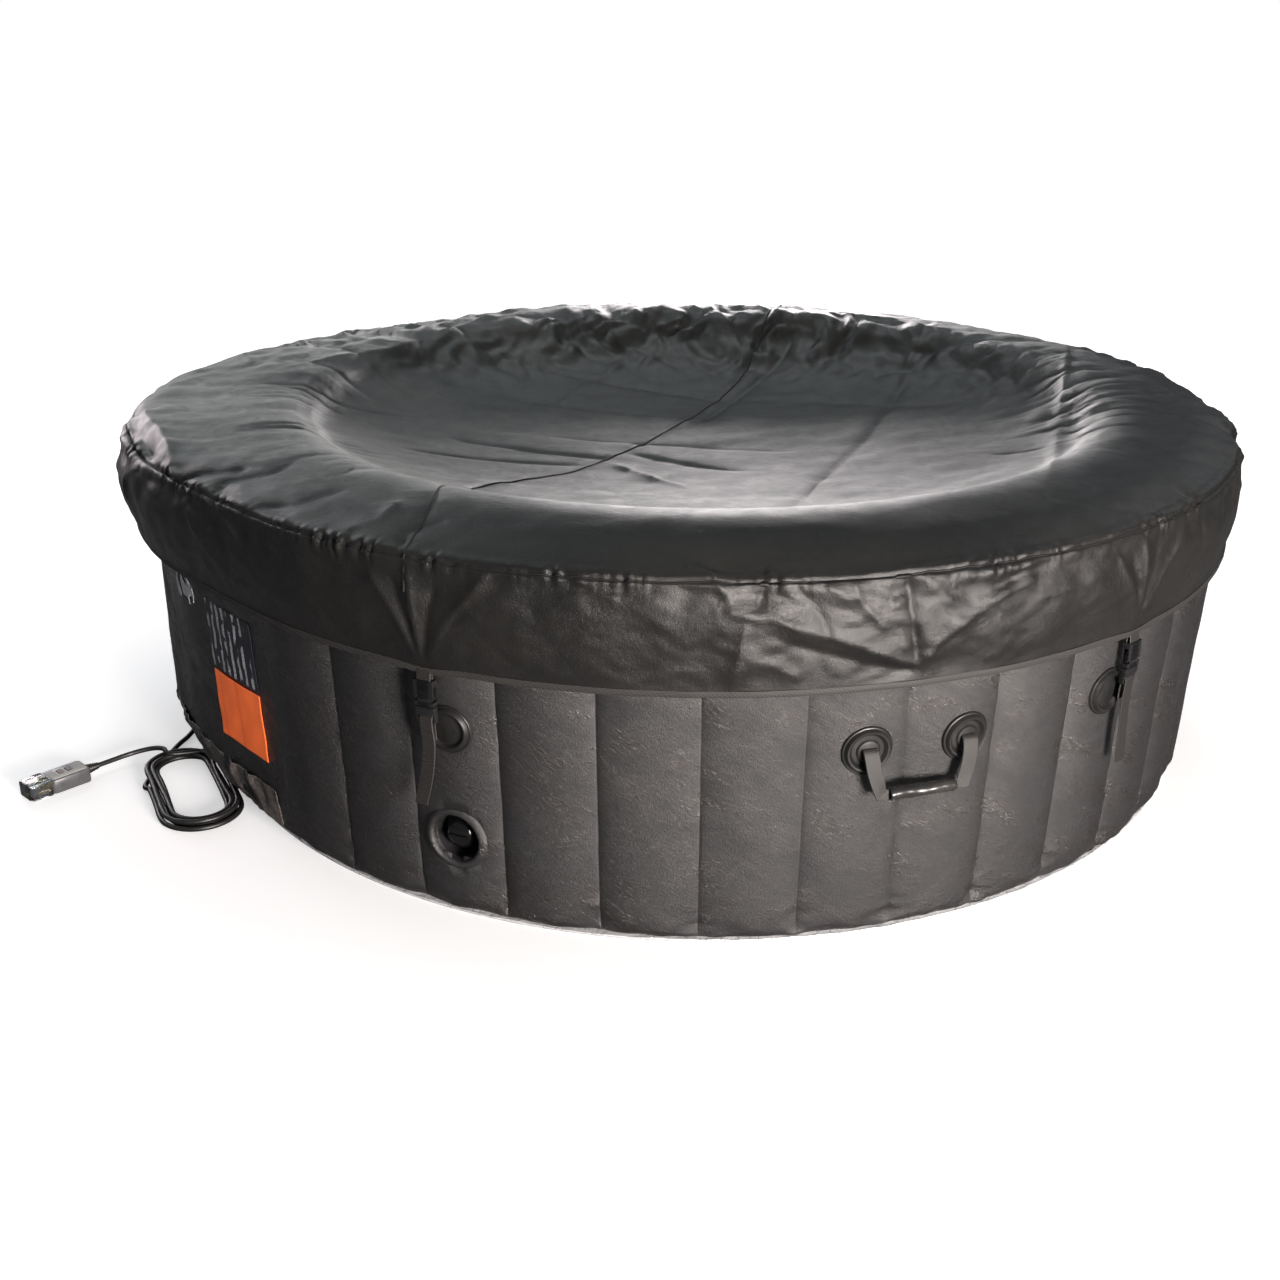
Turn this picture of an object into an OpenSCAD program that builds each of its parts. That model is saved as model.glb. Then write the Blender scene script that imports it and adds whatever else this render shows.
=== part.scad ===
// Inflatable hot tub with a control unit built into its wall, under a fitted cover.
// The origin is the centre of the round tub on the floor. The front is -Y, and the control unit is at -X.
// An azimuth of 0 looks at the front, and it grows towards +X.

/* [Tub wall] */
// Radius of the wall at the floor, over the ribs
wall_r = 977; // [970:1:985]
// How much the wall's radius grows per millimetre of height
wall_flare = 0.043; // [0.03:0.001:0.05]
// Height of the tub's rounded rim
rim_h = 632; // [628:1:634]
// Radius of the inner wall
inner_r = 800; // [796:1:802]
// Number of inflated ribs round the whole wall
rib_count = 40; // [36:4:44]
// Depth of the groove between two ribs
rib_depth = 12; // [4:1:14]
// Thickness of the laminated skins
skin = 3; // [2:0.5:3]

/* [Control unit bulge] */
// How far the wall stands out in front of the control unit
bulge_out = 88; // [80:1:92]
// Half of the angle that the bulge covers
bulge_half = 45; // [43:1:47]
// Width of the control unit's case
unit_w = 500; // [480:1:510]

/* [Cover] */
// Radius of the cover at its hem
hem_r = 1010; // [1008:1:1016]
// Height of the cover's hem above the floor
hem_h = 442; // [438:1:446]
// Height of the cover's crest
crest_h = 645; // [643:1:650]
// How far the middle of the cover sags below its crest
sag = 121; // [60:1:122]
// Thickness of the cover's padded sheet
cover_t = 4; // [3:0.5:4]

/* [Fittings] */
// Diameter of a welded round patch
patch_d = 80; // [70:1:84]
// Height of the handles' patches
handle_h = 335; // [325:1:345]
// Height of the drain valve
drain_h = 147; // [130:1:155]
// Width of the strap webbing
web_w = 25; // [20:1:26]

/* [Cord] */
// Diameter of the supply cord
cord_d = 9.5; // [8:0.5:10]

/* [Hidden] */
$fn = 96;

bulge_az = -90;
rib_angle = 360 / rib_count;
sweep_steps = 80;
rib_steps = 4 * rib_count;
pocket_half = 24;

handle_az = [18.9, 90, 161.1];
patch_spread = 4.65;
handle_pivot_r = 1003;
patch_gap = 2.5;
handle_drop = 65;
handle_tilt = 10;
grip_l = 108;

strap_az = [-22.5, 40.5, 139.5, -157.5];
buckle_az = [-23.8, 42, 138, -156.2];
strap_patch_h = 340;
buckle_r = 1010;
drain_az = -22.5;
air_valve_az = -139.5;
air_valve_h = 300;

unit_front_r = 1000;
unit_back_r = 812;
unit_low = 52;
unit_high = 580;
unit_wall = 4;
lid_low = 584;
lid_high = 608;
pipe_x = 90;
pump_h = 140;
heater_h = 300;
pump_low_r = 830;
pump_len = 52;
pump_r = 58;
blower_x = 130;
blower_r = 62;
blower_low = 400;
blower_len = 66;
shaft_r = 4;
running_gap = 0.05;
button_x = [-96, -64, 64, 96];
button_r = 7;
button_depth_r = 880;

gland_az = -104;
gland_h = 62;
gland_r = 1056;
coil_az = -61.8;
coil_r = 1058;
coil_half_l = 152;
coil_half_w = 66;
coil_ring = 34;
coil_h = 21;
plug_at = [-1128, -432];
plug_turn = 228;
plug_low = 1;

// Route of the cord from its gland to the coil, then from the coil to the plug
feed_route = [
    [-1066, 266, 62], [-1082, 270, 61], [-1098, 272, 56], [-1112, 268, 46], [-1124, 256, 32],
    [-1130, 238, 18], [-1130, 216, 8], [-1124, 190, 5], [-1108, 145, 5], [-1090, 100, 5],
    [-1070, 45, 5], [-1050, -10, 5], [-1032, -65, 5], [-1018, -120, 5], [-1006, -175, 5],
    [-1000, -230, 5], [-1003, -285, 5], [-1012, -340, 6], [-1022, -400, 10]
];
lead_route = [
    [-990, -410, 12], [-1002, -392, 17], [-1020, -378, 22], [-1042, -373, 22],
    [-1064, -378, 20], [-1086, -389, 17], [-1108, -410, 16], [-1128, -432, 16]
];

// How much of the bulge an azimuth has, from 0 to 1
function bump(az) =
    let(d = abs(az - bulge_az - 360 * round((az - bulge_az) / 360)))
    d < bulge_half ? pow(1 - pow(d / bulge_half, 2), 2) : 0;

// Depth of the rib grooves at an azimuth; the bulge has no ribs
function groove(az) =
    let(t = 2 * (az / rib_angle - floor(az / rib_angle)) - 1)
    bump(az) > 0 ? 0 : rib_depth * (1 - sqrt(1 - 0.999 * t * t));

// A point of a swept section is [radius, height, share of the bulge, share of the rib groove]
function swept_point(p, az, out) =
    let(r = p[0] + p[2] * out * bump(az) - p[3] * groove(az))
    [r * sin(az), -r * cos(az), p[1]];

function wall_radius(h) = wall_r + wall_flare * h;

// Outer face of the wall, from the floor up
wall_face = [
    [wall_r - 15, 9, 0.1, 0], [wall_r - 7, 15, 0.35, 0.3], [wall_r, 32, 0.65, 1],
    [wall_radius(80), 80, 0.96, 1], [wall_radius(200), 200, 0.9, 1], [wall_radius(330), 330, 0.8, 1],
    [wall_radius(450), 450, 0.72, 1], [wall_radius(450) - 5, 520, 0.76, 0.8],
    [wall_radius(450) - 18, 575, 0.8, 0.3]
];

// The wall's share of the bulge at a height
function wall_share(h) = lookup(h, [for (p = wall_face) [p[1], p[2]]]);

// Outer face of the rim, from the wall over the crest to the inner wall
rim_face = [
    [974, 579, 1, 0], [958, rim_h - 28, 0.95, 0], [930, rim_h - 8, 0.8, 0], [900, rim_h, 0.6, 0],
    [860, rim_h - 7, 0.35, 0], [825, rim_h - 26, 0.15, 0], [804, rim_h - 50, 0, 0]
];

// Upper face of the cover, from its seam to near its centre
cover_face = [
    [hem_r, crest_h - 26, 1, 0], [985, crest_h - 10, 1.2, 0], [955, crest_h - 2, 1.4, 0],
    [923, crest_h, 1.5, 0], [865, crest_h - 1, 0.6, 0], [815, crest_h - 6, 0, 0],
    [780, crest_h - 16, 0, 0], [735, crest_h - 33, 0, 0], [550, crest_h - 0.68 * sag, 0, 0],
    [300, crest_h - 0.91 * sag, 0, 0]
];
skirt_face = [
    [hem_r, hem_h + 5, 1.05, 0], [hem_r + 3, hem_h + 40, 1.2, 0], [hem_r + 8, hem_h + 98, 1.3, 0],
    [hem_r + 3, crest_h - 34, 1.1, 0]
];

function reversed(list) = [for (i = [len(list) - 1 : -1 : 0]) list[i]];
function lowered(face, t) = [for (p = face) [p[0], p[1] - t, p[2], p[3]]];
function inset(face, t) = [for (p = face) [p[0] - t, p[1], p[2], p[3]]];
function closed_skin(face, t) = concat(face, reversed(inset(face, t)));

// A closed section swept round the tub from az0 to az1. The section runs anticlockwise, seen with
// the tub's axis on its left, and a full turn closes on itself.
module swept(section, az0 = 0, az1 = 360, steps = sweep_steps, out = bulge_out) {
    k = len(section);
    full = az1 - az0 == 360;
    rings = full ? steps : steps + 1;
    points = [for (i = [0 : rings - 1], p = section) swept_point(p, az0 + i * (az1 - az0) / steps, out)];
    sides = [
        for (i = [0 : steps - 1], j = [0 : k - 1])
            let(a = i * k, b = ((i + 1) % rings) * k, n = (j + 1) % k)
            each [[a + j, a + n, b + n], [a + j, b + n, b + j]]
    ];
    caps = full ? [] : [reversed([for (j = [0 : k - 1]) j]), [for (j = [0 : k - 1]) (rings - 1) * k + j]];
    polyhedron(points, concat(sides, caps), convexity = 10);
}

// Local frame on the wall: x to the right, y up and z outwards, seen from outside
module on_wall(az, h, r = 0, dx = 0) {
    rotate([0, 0, az]) translate([dx, -r, h]) rotate([90, 0, 0]) children();
}

module bar(size, at) {
    translate([at[0] - size[0] / 2, at[1] - size[1] / 2, at[2]]) cube(size);
}

module ring(r_out, r_in, low, high) {
    translate([0, 0, low]) difference() {
        cylinder(r = r_out, h = high - low);
        translate([0, 0, -1]) cylinder(r = r_in, h = high - low + 2);
    }
}

// Local frame of the control unit: x along the wall, y outwards from the tub's centre, z up
module in_unit() {
    rotate([0, 0, bulge_az]) mirror([0, 1, 0]) children();
}

// ---- Air chamber -------------------------------------------------------------------------

module outer_wall() {
    color([0.13, 0.13, 0.14]) difference() {
        swept(closed_skin(wall_face, skin), steps = rib_steps);
        on_wall(drain_az, drain_h, 900) cylinder(r = 38.6, h = 150);
        on_wall(air_valve_az, air_valve_h, 900) cylinder(r = 18.6, h = 150);
        on_wall(gland_az, gland_h, 940) cylinder(r = 10.6, h = 150);
    }
}

module inner_wall() {
    color([0.25, 0.27, 0.3]) difference() {
        ring(inner_r, inner_r - skin, 13, rim_h - 52);
        on_wall(drain_az, drain_h, 700) cylinder(r = 20.6, h = 150);
        for (x = [-pipe_x, pipe_x]) on_wall(bulge_az, pump_h, 700, x) cylinder(r = 24.6, h = 150);
    }
}

module top_ring() {
    color([0.13, 0.13, 0.14])
        swept(
            concat(rim_face, reversed(lowered(rim_face, skin))),
            bulge_az + pocket_half, bulge_az + 360 - pocket_half, 78
        );
}

module base_ring() {
    color([0.13, 0.13, 0.14])
        swept([[inner_r + 1, 9, 0, 0], [wall_r - 19, 9, 0.1, 0], [wall_r - 19, 12, 0.1, 0], [inner_r + 1, 12, 0, 0]]);
}

module floor_sheet() {
    color([0.25, 0.27, 0.3]) translate([0, 0, 8]) cylinder(r = inner_r - skin - 1, h = 4);
}

// Flat web between the inner and the outer wall at one azimuth
module web(az, t) {
    edge = [
        for (i = [1 : len(wall_face) - 1])
            let(p = wall_face[i])
            [p[0] + p[2] * bulge_out * bump(az) - p[3] * groove(az) - skin - 2, p[1]]
    ];
    rotate([0, 0, az - 90]) rotate([90, 0, 0]) translate([0, 0, -t / 2])
        linear_extrude(t) polygon(concat([[inner_r + 3, 16]], edge, [[inner_r + 3, 572]]));
}

module chamber_webs() {
    color([0.3, 0.3, 0.32])
        for (i = [0 : rib_count - 1])
            let(az = i * rib_angle, far = abs(az - bulge_az - 360 * round((az - bulge_az) / 360)))
            if (far > pocket_half + 3) web(az, 2);
}

module pocket_walls() {
    color([0.13, 0.13, 0.14]) for (side = [-1, 1]) web(bulge_az + side * (pocket_half + 1), 3);
}

module ground_mat() {
    color([0.75, 0.77, 0.8]) cylinder(r = wall_r + 4, h = 6);
}

module air_jet_ring() {
    color([0.2, 0.2, 0.22]) rotate_extrude() translate([inner_r - skin - 24, 33]) circle(r = 19);
}

// ---- Labels and flap on the bulge --------------------------------------------------------

// A thin sheet on the wall between two azimuths and two heights
module wall_sheet(az0, az1, low, high, t) {
    face = [for (h = [low, high]) [wall_radius(h) + 1 + t, h, wall_share(h), 0]];
    swept(closed_skin(face, t), az0, az1, 8);
}

module info_label() {
    color([0.1, 0.12, 0.18]) wall_sheet(-57, -47.8, 280, 405, 1);
}

module orange_label() {
    color([0.9, 0.33, 0.12]) wall_sheet(-57, -47.8, 146, 272, 1);
}

module service_flap() {
    color([0.2, 0.18, 0.17])
        swept(
            closed_skin([[wall_r + 4, 28, 0.65, 0], [wall_r + 6, 50, 0.85, 0], [wall_radius(95) + 4, 95, 0.965, 0]], 1),
            -78, -47, 14
        );
}

// ---- Welded patches, valves --------------------------------------------------------------

// Round welded patch with a raised ring, its back face on z = 0
module round_patch() {
    cylinder(d = patch_d, h = 4);
    ring(patch_d / 2 - 6, patch_d / 2 - 11, 3, 7);
}

module handle_patches() {
    color([0.15, 0.15, 0.16])
        for (az = handle_az, side = [-1, 1])
            on_wall(az + side * patch_spread, handle_h, wall_radius(handle_h) + patch_gap) {
                round_patch();
                cylinder(r = 17, h = 5);
            }
}

module strap_patches() {
    color([0.15, 0.15, 0.16])
        for (az = strap_az) on_wall(az, strap_patch_h, wall_radius(strap_patch_h) + patch_gap) round_patch();
}

module drain_housing() {
    color([0.08, 0.08, 0.09]) on_wall(drain_az, drain_h) {
        ring(50, 36, 987, 991);
        ring(38, 35, 948, 988);
        ring(38, 17, 944, 948);
        ring(20, 17, inner_r - skin - 6, 946);
        ring(32, 17, inner_r - skin - 7, inner_r - skin - 1);
    }
}

module drain_cap() {
    color([0.05, 0.05, 0.05]) on_wall(drain_az, drain_h) {
        translate([0, 0, 949]) cylinder(r = 31, h = 9);
        translate([0, 0, 957]) cylinder(r = 19, h = 12);
        bar([46, 9, 16], [0, 0, 957]);
    }
}

module air_valve_body() {
    color([0.08, 0.08, 0.09]) on_wall(air_valve_az, air_valve_h) {
        ring(31, 12, 993, 997);
        ring(18, 12, 958, 994);
        ring(14, 5, 955, 958.5);
    }
}

module air_valve_stem() {
    color([0.3, 0.3, 0.32]) on_wall(air_valve_az, air_valve_h) {
        translate([0, 0, 963]) cylinder(r = 9, h = 4);
        translate([0, 0, 948]) cylinder(r = 4.6, h = 40);
        translate([0, 0, 946]) cylinder(r = 11, h = 4);
    }
}

module air_valve_cap() {
    color([0.05, 0.05, 0.05]) on_wall(air_valve_az, air_valve_h) {
        ring(24, 20, 997.5, 1005);
        translate([0, 0, 1005]) cylinder(r = 24, h = 3);
        bar([32, 6, 6], [0, 0, 1007]);
    }
}

// ---- Control unit ------------------------------------------------------------------------

module unit_case() {
    color([0.3, 0.31, 0.33]) in_unit() difference() {
        translate([-unit_w / 2, unit_back_r, unit_low])
            cube([unit_w, unit_front_r - unit_back_r, unit_high - unit_low]);
        translate([-unit_w / 2 + unit_wall, unit_back_r + unit_wall, unit_low + unit_wall])
            cube([unit_w - 2 * unit_wall, unit_front_r - unit_back_r - 2 * unit_wall, unit_high]);
        for (x = [-pipe_x, pipe_x]) translate([x, unit_back_r - 1, pump_h]) rotate([-90, 0, 0]) cylinder(r = 26, h = 10);
        translate([blower_x, unit_back_r - 1, 33 + unit_low]) rotate([-90, 0, 0]) cylinder(r = 13, h = 10);
    }
}

// Outline of the lid, which fills the gap that the rim leaves over the control unit
function lid_outline(grow) = concat(
    [
        for (i = [0 : 16])
            let(az = bulge_az - pocket_half + 1 + i * (pocket_half - 1) / 8, r = wall_r - 12 + bulge_out * bump(az) + grow)
            [r * sin(az), -r * cos(az)]
    ],
    [for (i = [16 : -1 : 0]) let(az = bulge_az - pocket_half + 1 + i * (pocket_half - 1) / 8, r = inner_r + 4)
        [r * sin(az), -r * cos(az)]]
);

module unit_lid() {
    color([0.2, 0.2, 0.22]) difference() {
        translate([0, 0, lid_low]) linear_extrude(lid_high - lid_low) polygon(lid_outline(0));
        translate([0, 0, lid_low - 1]) linear_extrude(lid_high - lid_low - 5) polygon(
            [for (a = [-20 : 5 : 20]) [-(inner_r + 20) * cos(a), (inner_r + 20) * sin(a)],
             for (a = [17 : -5.6666 : -17]) [-(wall_r + 20) * cos(a), (wall_r + 20) * sin(a)]]
        );
        in_unit() {
            for (x = button_x) translate([x, button_depth_r, lid_low]) cylinder(r = button_r + 0.4, h = 40);
            translate([-36, button_depth_r - 19, lid_high - 3]) cube([72, 38, 10]);
        }
    }
}

module display_window() {
    color([0.05, 0.1, 0.12, 0.8]) in_unit()
        translate([-35.5, button_depth_r - 18.5, lid_high - 2.8]) cube([71, 37, 2.6]);
}

module panel_button(x) {
    color([0.75, 0.76, 0.78]) in_unit() translate([x, button_depth_r, 0]) {
        translate([0, 0, lid_high - 9]) cylinder(r = button_r, h = 11);
        translate([0, 0, lid_high - 9]) cylinder(r = button_r + 2, h = 2.5);
    }
}

module button_heat() {
    panel_button(button_x[0]);
}

module button_filter() {
    panel_button(button_x[1]);
}

module button_bubbles() {
    panel_button(button_x[2]);
}

module button_set() {
    panel_button(button_x[3]);
}

module circuit_board() {
    color([0.05, 0.35, 0.15]) in_unit() {
        translate([-120, 835, 548]) cube([240, 110, 2]);
        translate([-90, 850, 549]) cube([30, 24, 16]);
        translate([20, 900, 549]) cube([40, 30, 20]);
        translate([60, 850, 549]) cube([24, 24, 10]);
    }
}

// Runs along the unit's y axis, from the tub outwards
module along_y(x, h, r) {
    translate([x, r, h]) rotate([-90, 0, 0]) children();
}

module pump_housing() {
    color([0.12, 0.12, 0.13]) in_unit() along_y(-pipe_x, pump_h, pump_low_r) difference() {
        union() {
            cylinder(r = pump_r, h = pump_len);
            translate([-14, -pump_r - 8, 14]) cube([28, 30, 28]);
        }
        translate([0, 0, 5]) cylinder(r = pump_r - 5, h = pump_len - 10);
        translate([0, 0, -1]) cylinder(r = 13, h = 10);
        translate([0, 0, 40]) cylinder(r = shaft_r + running_gap, h = 20);
        translate([0, -pump_r + 10, 28]) rotate([90, 0, 0]) cylinder(r = 9, h = 60);
    }
}

module pump_motor() {
    color([0.5, 0.5, 0.52]) in_unit() along_y(-pipe_x, pump_h, pump_low_r + pump_len) difference() {
        cylinder(r = 44, h = 98);
        translate([0, 0, -1]) cylinder(r = shaft_r + running_gap, h = 40);
    }
}

module pump_impeller() {
    color([0.8, 0.8, 0.78]) in_unit() along_y(-pipe_x, pump_h, pump_low_r) {
        translate([0, 0, 12]) cylinder(r = 44, h = 5);
        for (i = [0 : 5]) rotate([0, 0, 60 * i]) translate([13, -2, 16]) cube([29, 4, 22]);
        translate([0, 0, 12]) cylinder(r = 14, h = 24);
        translate([0, 0, 20]) cylinder(r = shaft_r, h = pump_len + 10);
    }
}

module heater_tube() {
    color([0.7, 0.7, 0.72]) in_unit() translate([-130, 858, heater_h]) rotate([0, 90, 0]) difference() {
        cylinder(r = 28, h = 240);
        translate([0, 0, 3]) cylinder(r = 25, h = 234);
        for (z = [40, 220]) translate([0, 0, z]) rotate([0, 90, 0]) cylinder(r = 9, h = 60);
    }
}

module pipe(r, h) {
    difference() {
        cylinder(r = r, h = h);
        translate([0, 0, -1]) cylinder(r = r - 3, h = h + 2);
    }
}

module water_pipes() {
    color([0.6, 0.62, 0.65]) in_unit() {
        along_y(-pipe_x, pump_h, inner_r + 1) pipe(16, 28);
        translate([-pipe_x, 858, pump_h + pump_r + 9]) pipe(11, heater_h - pump_h - pump_r - 38);
        translate([pipe_x, 858, pump_h + 8]) pipe(11, heater_h - pump_h - 37);
        difference() {
            along_y(pipe_x, pump_h, inner_r + 1) cylinder(r = 16, h = 72);
            along_y(pipe_x, pump_h, inner_r) cylinder(r = 13, h = 69);
            translate([pipe_x, 858, pump_h]) cylinder(r = 8, h = 40);
        }
        along_y(blower_x, 33 + unit_low, inner_r + 1) pipe(12, 60);
        translate([blower_x, 870, 88]) pipe(10, blower_low - 89);
    }
}

module blower_housing() {
    color([0.12, 0.12, 0.13]) in_unit() translate([blower_x, 900, blower_low]) difference() {
        cylinder(r = blower_r, h = blower_len);
        translate([0, 0, 4]) cylinder(r = blower_r - 4, h = blower_len - 26);
        translate([0, 0, 30]) cylinder(r = shaft_r + running_gap, h = 24);
        translate([0, -30, -1]) cylinder(r = 7, h = 8);
    }
}

module blower_fan() {
    color([0.85, 0.85, 0.85]) in_unit() translate([blower_x, 900, blower_low]) {
        translate([0, 0, 9]) cylinder(r = 50, h = 3);
        for (i = [0 : 7]) rotate([0, 0, 45 * i]) translate([20, -1.5, 11]) cube([28, 3, 20]);
        translate([0, 0, 9]) cylinder(r = 21, h = 14);
        translate([0, 0, 18]) cylinder(r = shaft_r, h = 32);
    }
}

module wall_fittings() {
    color([0.85, 0.86, 0.88]) for (x = [-pipe_x, pipe_x]) on_wall(bulge_az, pump_h, 0, x) {
        ring(40, 17, inner_r - 22, inner_r - 16);
        ring(24, 17, inner_r - 18, inner_r + 4);
    }
}

module filter_cartridge() {
    color([0.92, 0.92, 0.9]) on_wall(bulge_az, pump_h, 0, -pipe_x) difference() {
        ring(50, 20, inner_r - 150, inner_r - 23);
        for (i = [0 : 23]) rotate([0, 0, 15 * i]) translate([46, -2, inner_r - 144]) cube([10, 4, 115]);
    }
}

module filter_cap() {
    color([0.3, 0.31, 0.33]) on_wall(bulge_az, pump_h, 0, -pipe_x) {
        translate([0, 0, inner_r - 160]) cylinder(r = 53, h = 9);
        bar([60, 10, 12], [0, 0, inner_r - 171]);
    }
}

module cord_gland() {
    color([0.06, 0.06, 0.06]) on_wall(gland_az, gland_h) {
        translate([0, 0, 1036]) cylinder(r = 10, h = 20);
        translate([0, 0, 1052]) cylinder(r = 17, h = 5);
        translate([0, 0, 1056]) cylinder(r1 = 9, r2 = cord_d / 2 + 1, h = 42);
    }
}

// ---- Carry handles -----------------------------------------------------------------------

// Local frame of one handle: x along the grip, y up from the pivot line, z outwards
module at_handle(i) {
    on_wall(handle_az[i], handle_h, handle_pivot_r) rotate([-handle_tilt, 0, 0]) children();
}

module handle_strap(i) {
    half = [
        [56, -handle_drop + 5], [56, -handle_drop + 14], [66, 2], [95, 2], [76, -handle_drop - 12],
        [56, -handle_drop - 12], [56, -handle_drop - 5]
    ];
    color([0.07, 0.07, 0.07]) at_handle(i) translate([0, 0, -1.5]) linear_extrude(3)
        polygon(concat(half, reversed([for (p = half) [-p[0], p[1]]])));
}

module handle_grip(i) {
    color([0.1, 0.1, 0.1]) at_handle(i) translate([-grip_l / 2, -handle_drop, 0]) rotate([0, 90, 0]) difference() {
        cylinder(r = 10, h = grip_l);
        translate([0, 0, -1]) cylinder(r = 6, h = grip_l + 2);
    }
}

module handle_strap_1() {
    handle_strap(0);
}

module handle_strap_2() {
    handle_strap(1);
}

module handle_strap_3() {
    handle_strap(2);
}

module handle_grip_1() {
    handle_grip(0);
}

module handle_grip_2() {
    handle_grip(1);
}

module handle_grip_3() {
    handle_grip(2);
}

// ---- Cover and its buckles ---------------------------------------------------------------

module cover_top() {
    k = len(cover_face);
    low = lowered(cover_face, cover_t);
    n = sweep_steps;
    rings = concat(cover_face, low);
    points = concat(
        [for (p = rings, i = [0 : n - 1]) swept_point(p, i * 360 / n, bulge_out)],
        [[0, 0, crest_h - sag], [0, 0, crest_h - sag - cover_t]]
    );
    top = [
        for (j = [0 : k - 2], i = [0 : n - 1])
            let(m = (i + 1) % n, a = j * n, b = a + n)
            each [[a + i, b + i, b + m], [a + i, b + m, a + m]]
    ];
    under = [for (f = top) [f[0] + k * n, f[2] + k * n, f[1] + k * n]];
    edge = [for (i = [0 : n - 1]) let(m = (i + 1) % n, b = k * n) each [[i, m, b + m], [i, b + m, b + i]]];
    hub = [
        for (i = [0 : n - 1])
            let(m = (i + 1) % n, a = (k - 1) * n, b = (2 * k - 1) * n)
            each [[a + i, 2 * k * n, a + m], [b + i, b + m, 2 * k * n + 1]]
    ];
    color([0.1, 0.1, 0.1]) polyhedron(points, concat(top, under, edge, hub), convexity = 10);
}

module cover_skirt() {
    color([0.1, 0.1, 0.1]) swept(closed_skin(skirt_face, cover_t));
}

module cover_hem() {
    color([0.2, 0.2, 0.2])
        swept([
            [hem_r - 6, hem_h - 4, 1.05, 0], [hem_r + 3, hem_h - 4, 1.05, 0],
            [hem_r + 3, hem_h + 4, 1.05, 0], [hem_r - 6, hem_h + 4, 1.05, 0]
        ]);
}

// Female half of a side-release buckle on a short strap under the hem
module buckle_socket(az) {
    on_wall(az, 0) {
        bar([web_w, 16, 2], [0, hem_h - 12, buckle_r - 1]);
        difference() {
            bar([34, 42, 14], [0, hem_h - 38, buckle_r - 7]);
            bar([28, 60, 8], [0, hem_h - 55, buckle_r - 4]);
        }
    }
}

module buckle_sockets() {
    color([0.06, 0.06, 0.06]) for (az = buckle_az) buckle_socket(az);
}

// Male half of a buckle, its lower strap and the free tail of webbing
module buckle_plug(i) {
    color([0.06, 0.06, 0.06]) on_wall(buckle_az[i], 0) {
        for (side = [-1, 1]) bar([6, 28, 6], [side * 9.5, hem_h - 48, buckle_r - 3]);
        bar([34, 14, 12], [0, hem_h - 67.5, buckle_r - 6]);
        bar([34, 14, 8], [0, hem_h - 80, buckle_r - 5]);
        bar([web_w, 34, 2], [0, hem_h - 100, buckle_r - 6.5]);
        bar([web_w, 6, 4], [0, hem_h - 84, buckle_r - 6.5]);
        bar([web_w, 150, 2], [0, hem_h - 155, buckle_r + 1]);
    }
}

module buckle_plug_1() {
    buckle_plug(0);
}

module buckle_plug_2() {
    buckle_plug(1);
}

module buckle_plug_3() {
    buckle_plug(2);
}

module buckle_plug_4() {
    buckle_plug(3);
}

// ---- Supply cord -------------------------------------------------------------------------

// Closed round tube along a list of points
module tube(route, d, sides = 8) {
    n = len(route);
    function unit(v) = v / norm(v);
    heading = [for (i = [0 : n - 1]) unit(route[min(i + 1, n - 1)] - route[max(i - 1, 0)])];
    side = [for (t = heading) unit(cross([0, 0, 1], t))];
    points = [
        for (i = [0 : n - 1], j = [0 : sides - 1])
            let(a = 360 * j / sides)
            route[i] + d / 2 * (cos(a) * side[i] + sin(a) * cross(heading[i], side[i]))
    ];
    walls = [
        for (i = [0 : n - 2], j = [0 : sides - 1])
            let(a = i * sides, b = a + sides, m = (j + 1) % sides)
            each [[a + j, b + m, a + m], [a + j, b + j, b + m]]
    ];
    caps = [[for (j = [0 : sides - 1]) j], [for (j = [sides - 1 : -1 : 0]) (n - 1) * sides + j]];
    polyhedron(points, concat(walls, caps), convexity = 10);
}

module cord_feed() {
    color([0.05, 0.05, 0.05]) tube(feed_route, cord_d);
}

module cord_lead() {
    color([0.05, 0.05, 0.05]) tube(lead_route, cord_d);
}

module long_round(half_l, half_w) {
    square([2 * (half_l - half_w), 2 * half_w], center = true);
    for (side = [-1, 1]) translate([side * (half_l - half_w), 0]) circle(r = half_w);
}

module cord_coil() {
    color([0.05, 0.05, 0.05]) rotate([0, 0, coil_az]) translate([0, -coil_r, 0.5]) linear_extrude(coil_h)
        difference() {
            long_round(coil_half_l, coil_half_w);
            long_round(coil_half_l - coil_ring, coil_half_w - coil_ring);
        }
}

// Local frame of the plug: x from the cord towards the prongs, z up
module at_plug() {
    translate([plug_at[0], plug_at[1], plug_low]) rotate([0, 0, plug_turn]) children();
}

module rounded_block(l, w, h, r) {
    linear_extrude(h) {
        translate([0, -w / 2 + r]) square([l, w - 2 * r]);
        translate([r, -w / 2]) square([l - 2 * r, w]);
        for (x = [r, l - r], y = [-w / 2 + r, w / 2 - r]) translate([x, y]) circle(r = r);
    }
}

module plug_case() {
    color([0.25, 0.26, 0.28]) at_plug() difference() {
        union() {
            translate([0, 0, 15]) rotate([0, 90, 0]) cylinder(r1 = cord_d / 2 + 0.8, r2 = 10, h = 28);
            translate([26, 0, 0]) rounded_block(76, 50, 30, 8);
        }
        for (x = [58, 74]) translate([x - 5.4, -7.4, 26]) cube([10.8, 14.8, 10]);
    }
}

module plug_prongs() {
    color([0.8, 0.75, 0.6]) at_plug() {
        for (y = [-6.5, 6.5]) translate([102, y - 0.8, 15]) cube([20, 1.6, 7]);
        translate([102, 0, 8]) rotate([0, 90, 0]) cylinder(r = 2.4, h = 22);
    }
}

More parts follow.
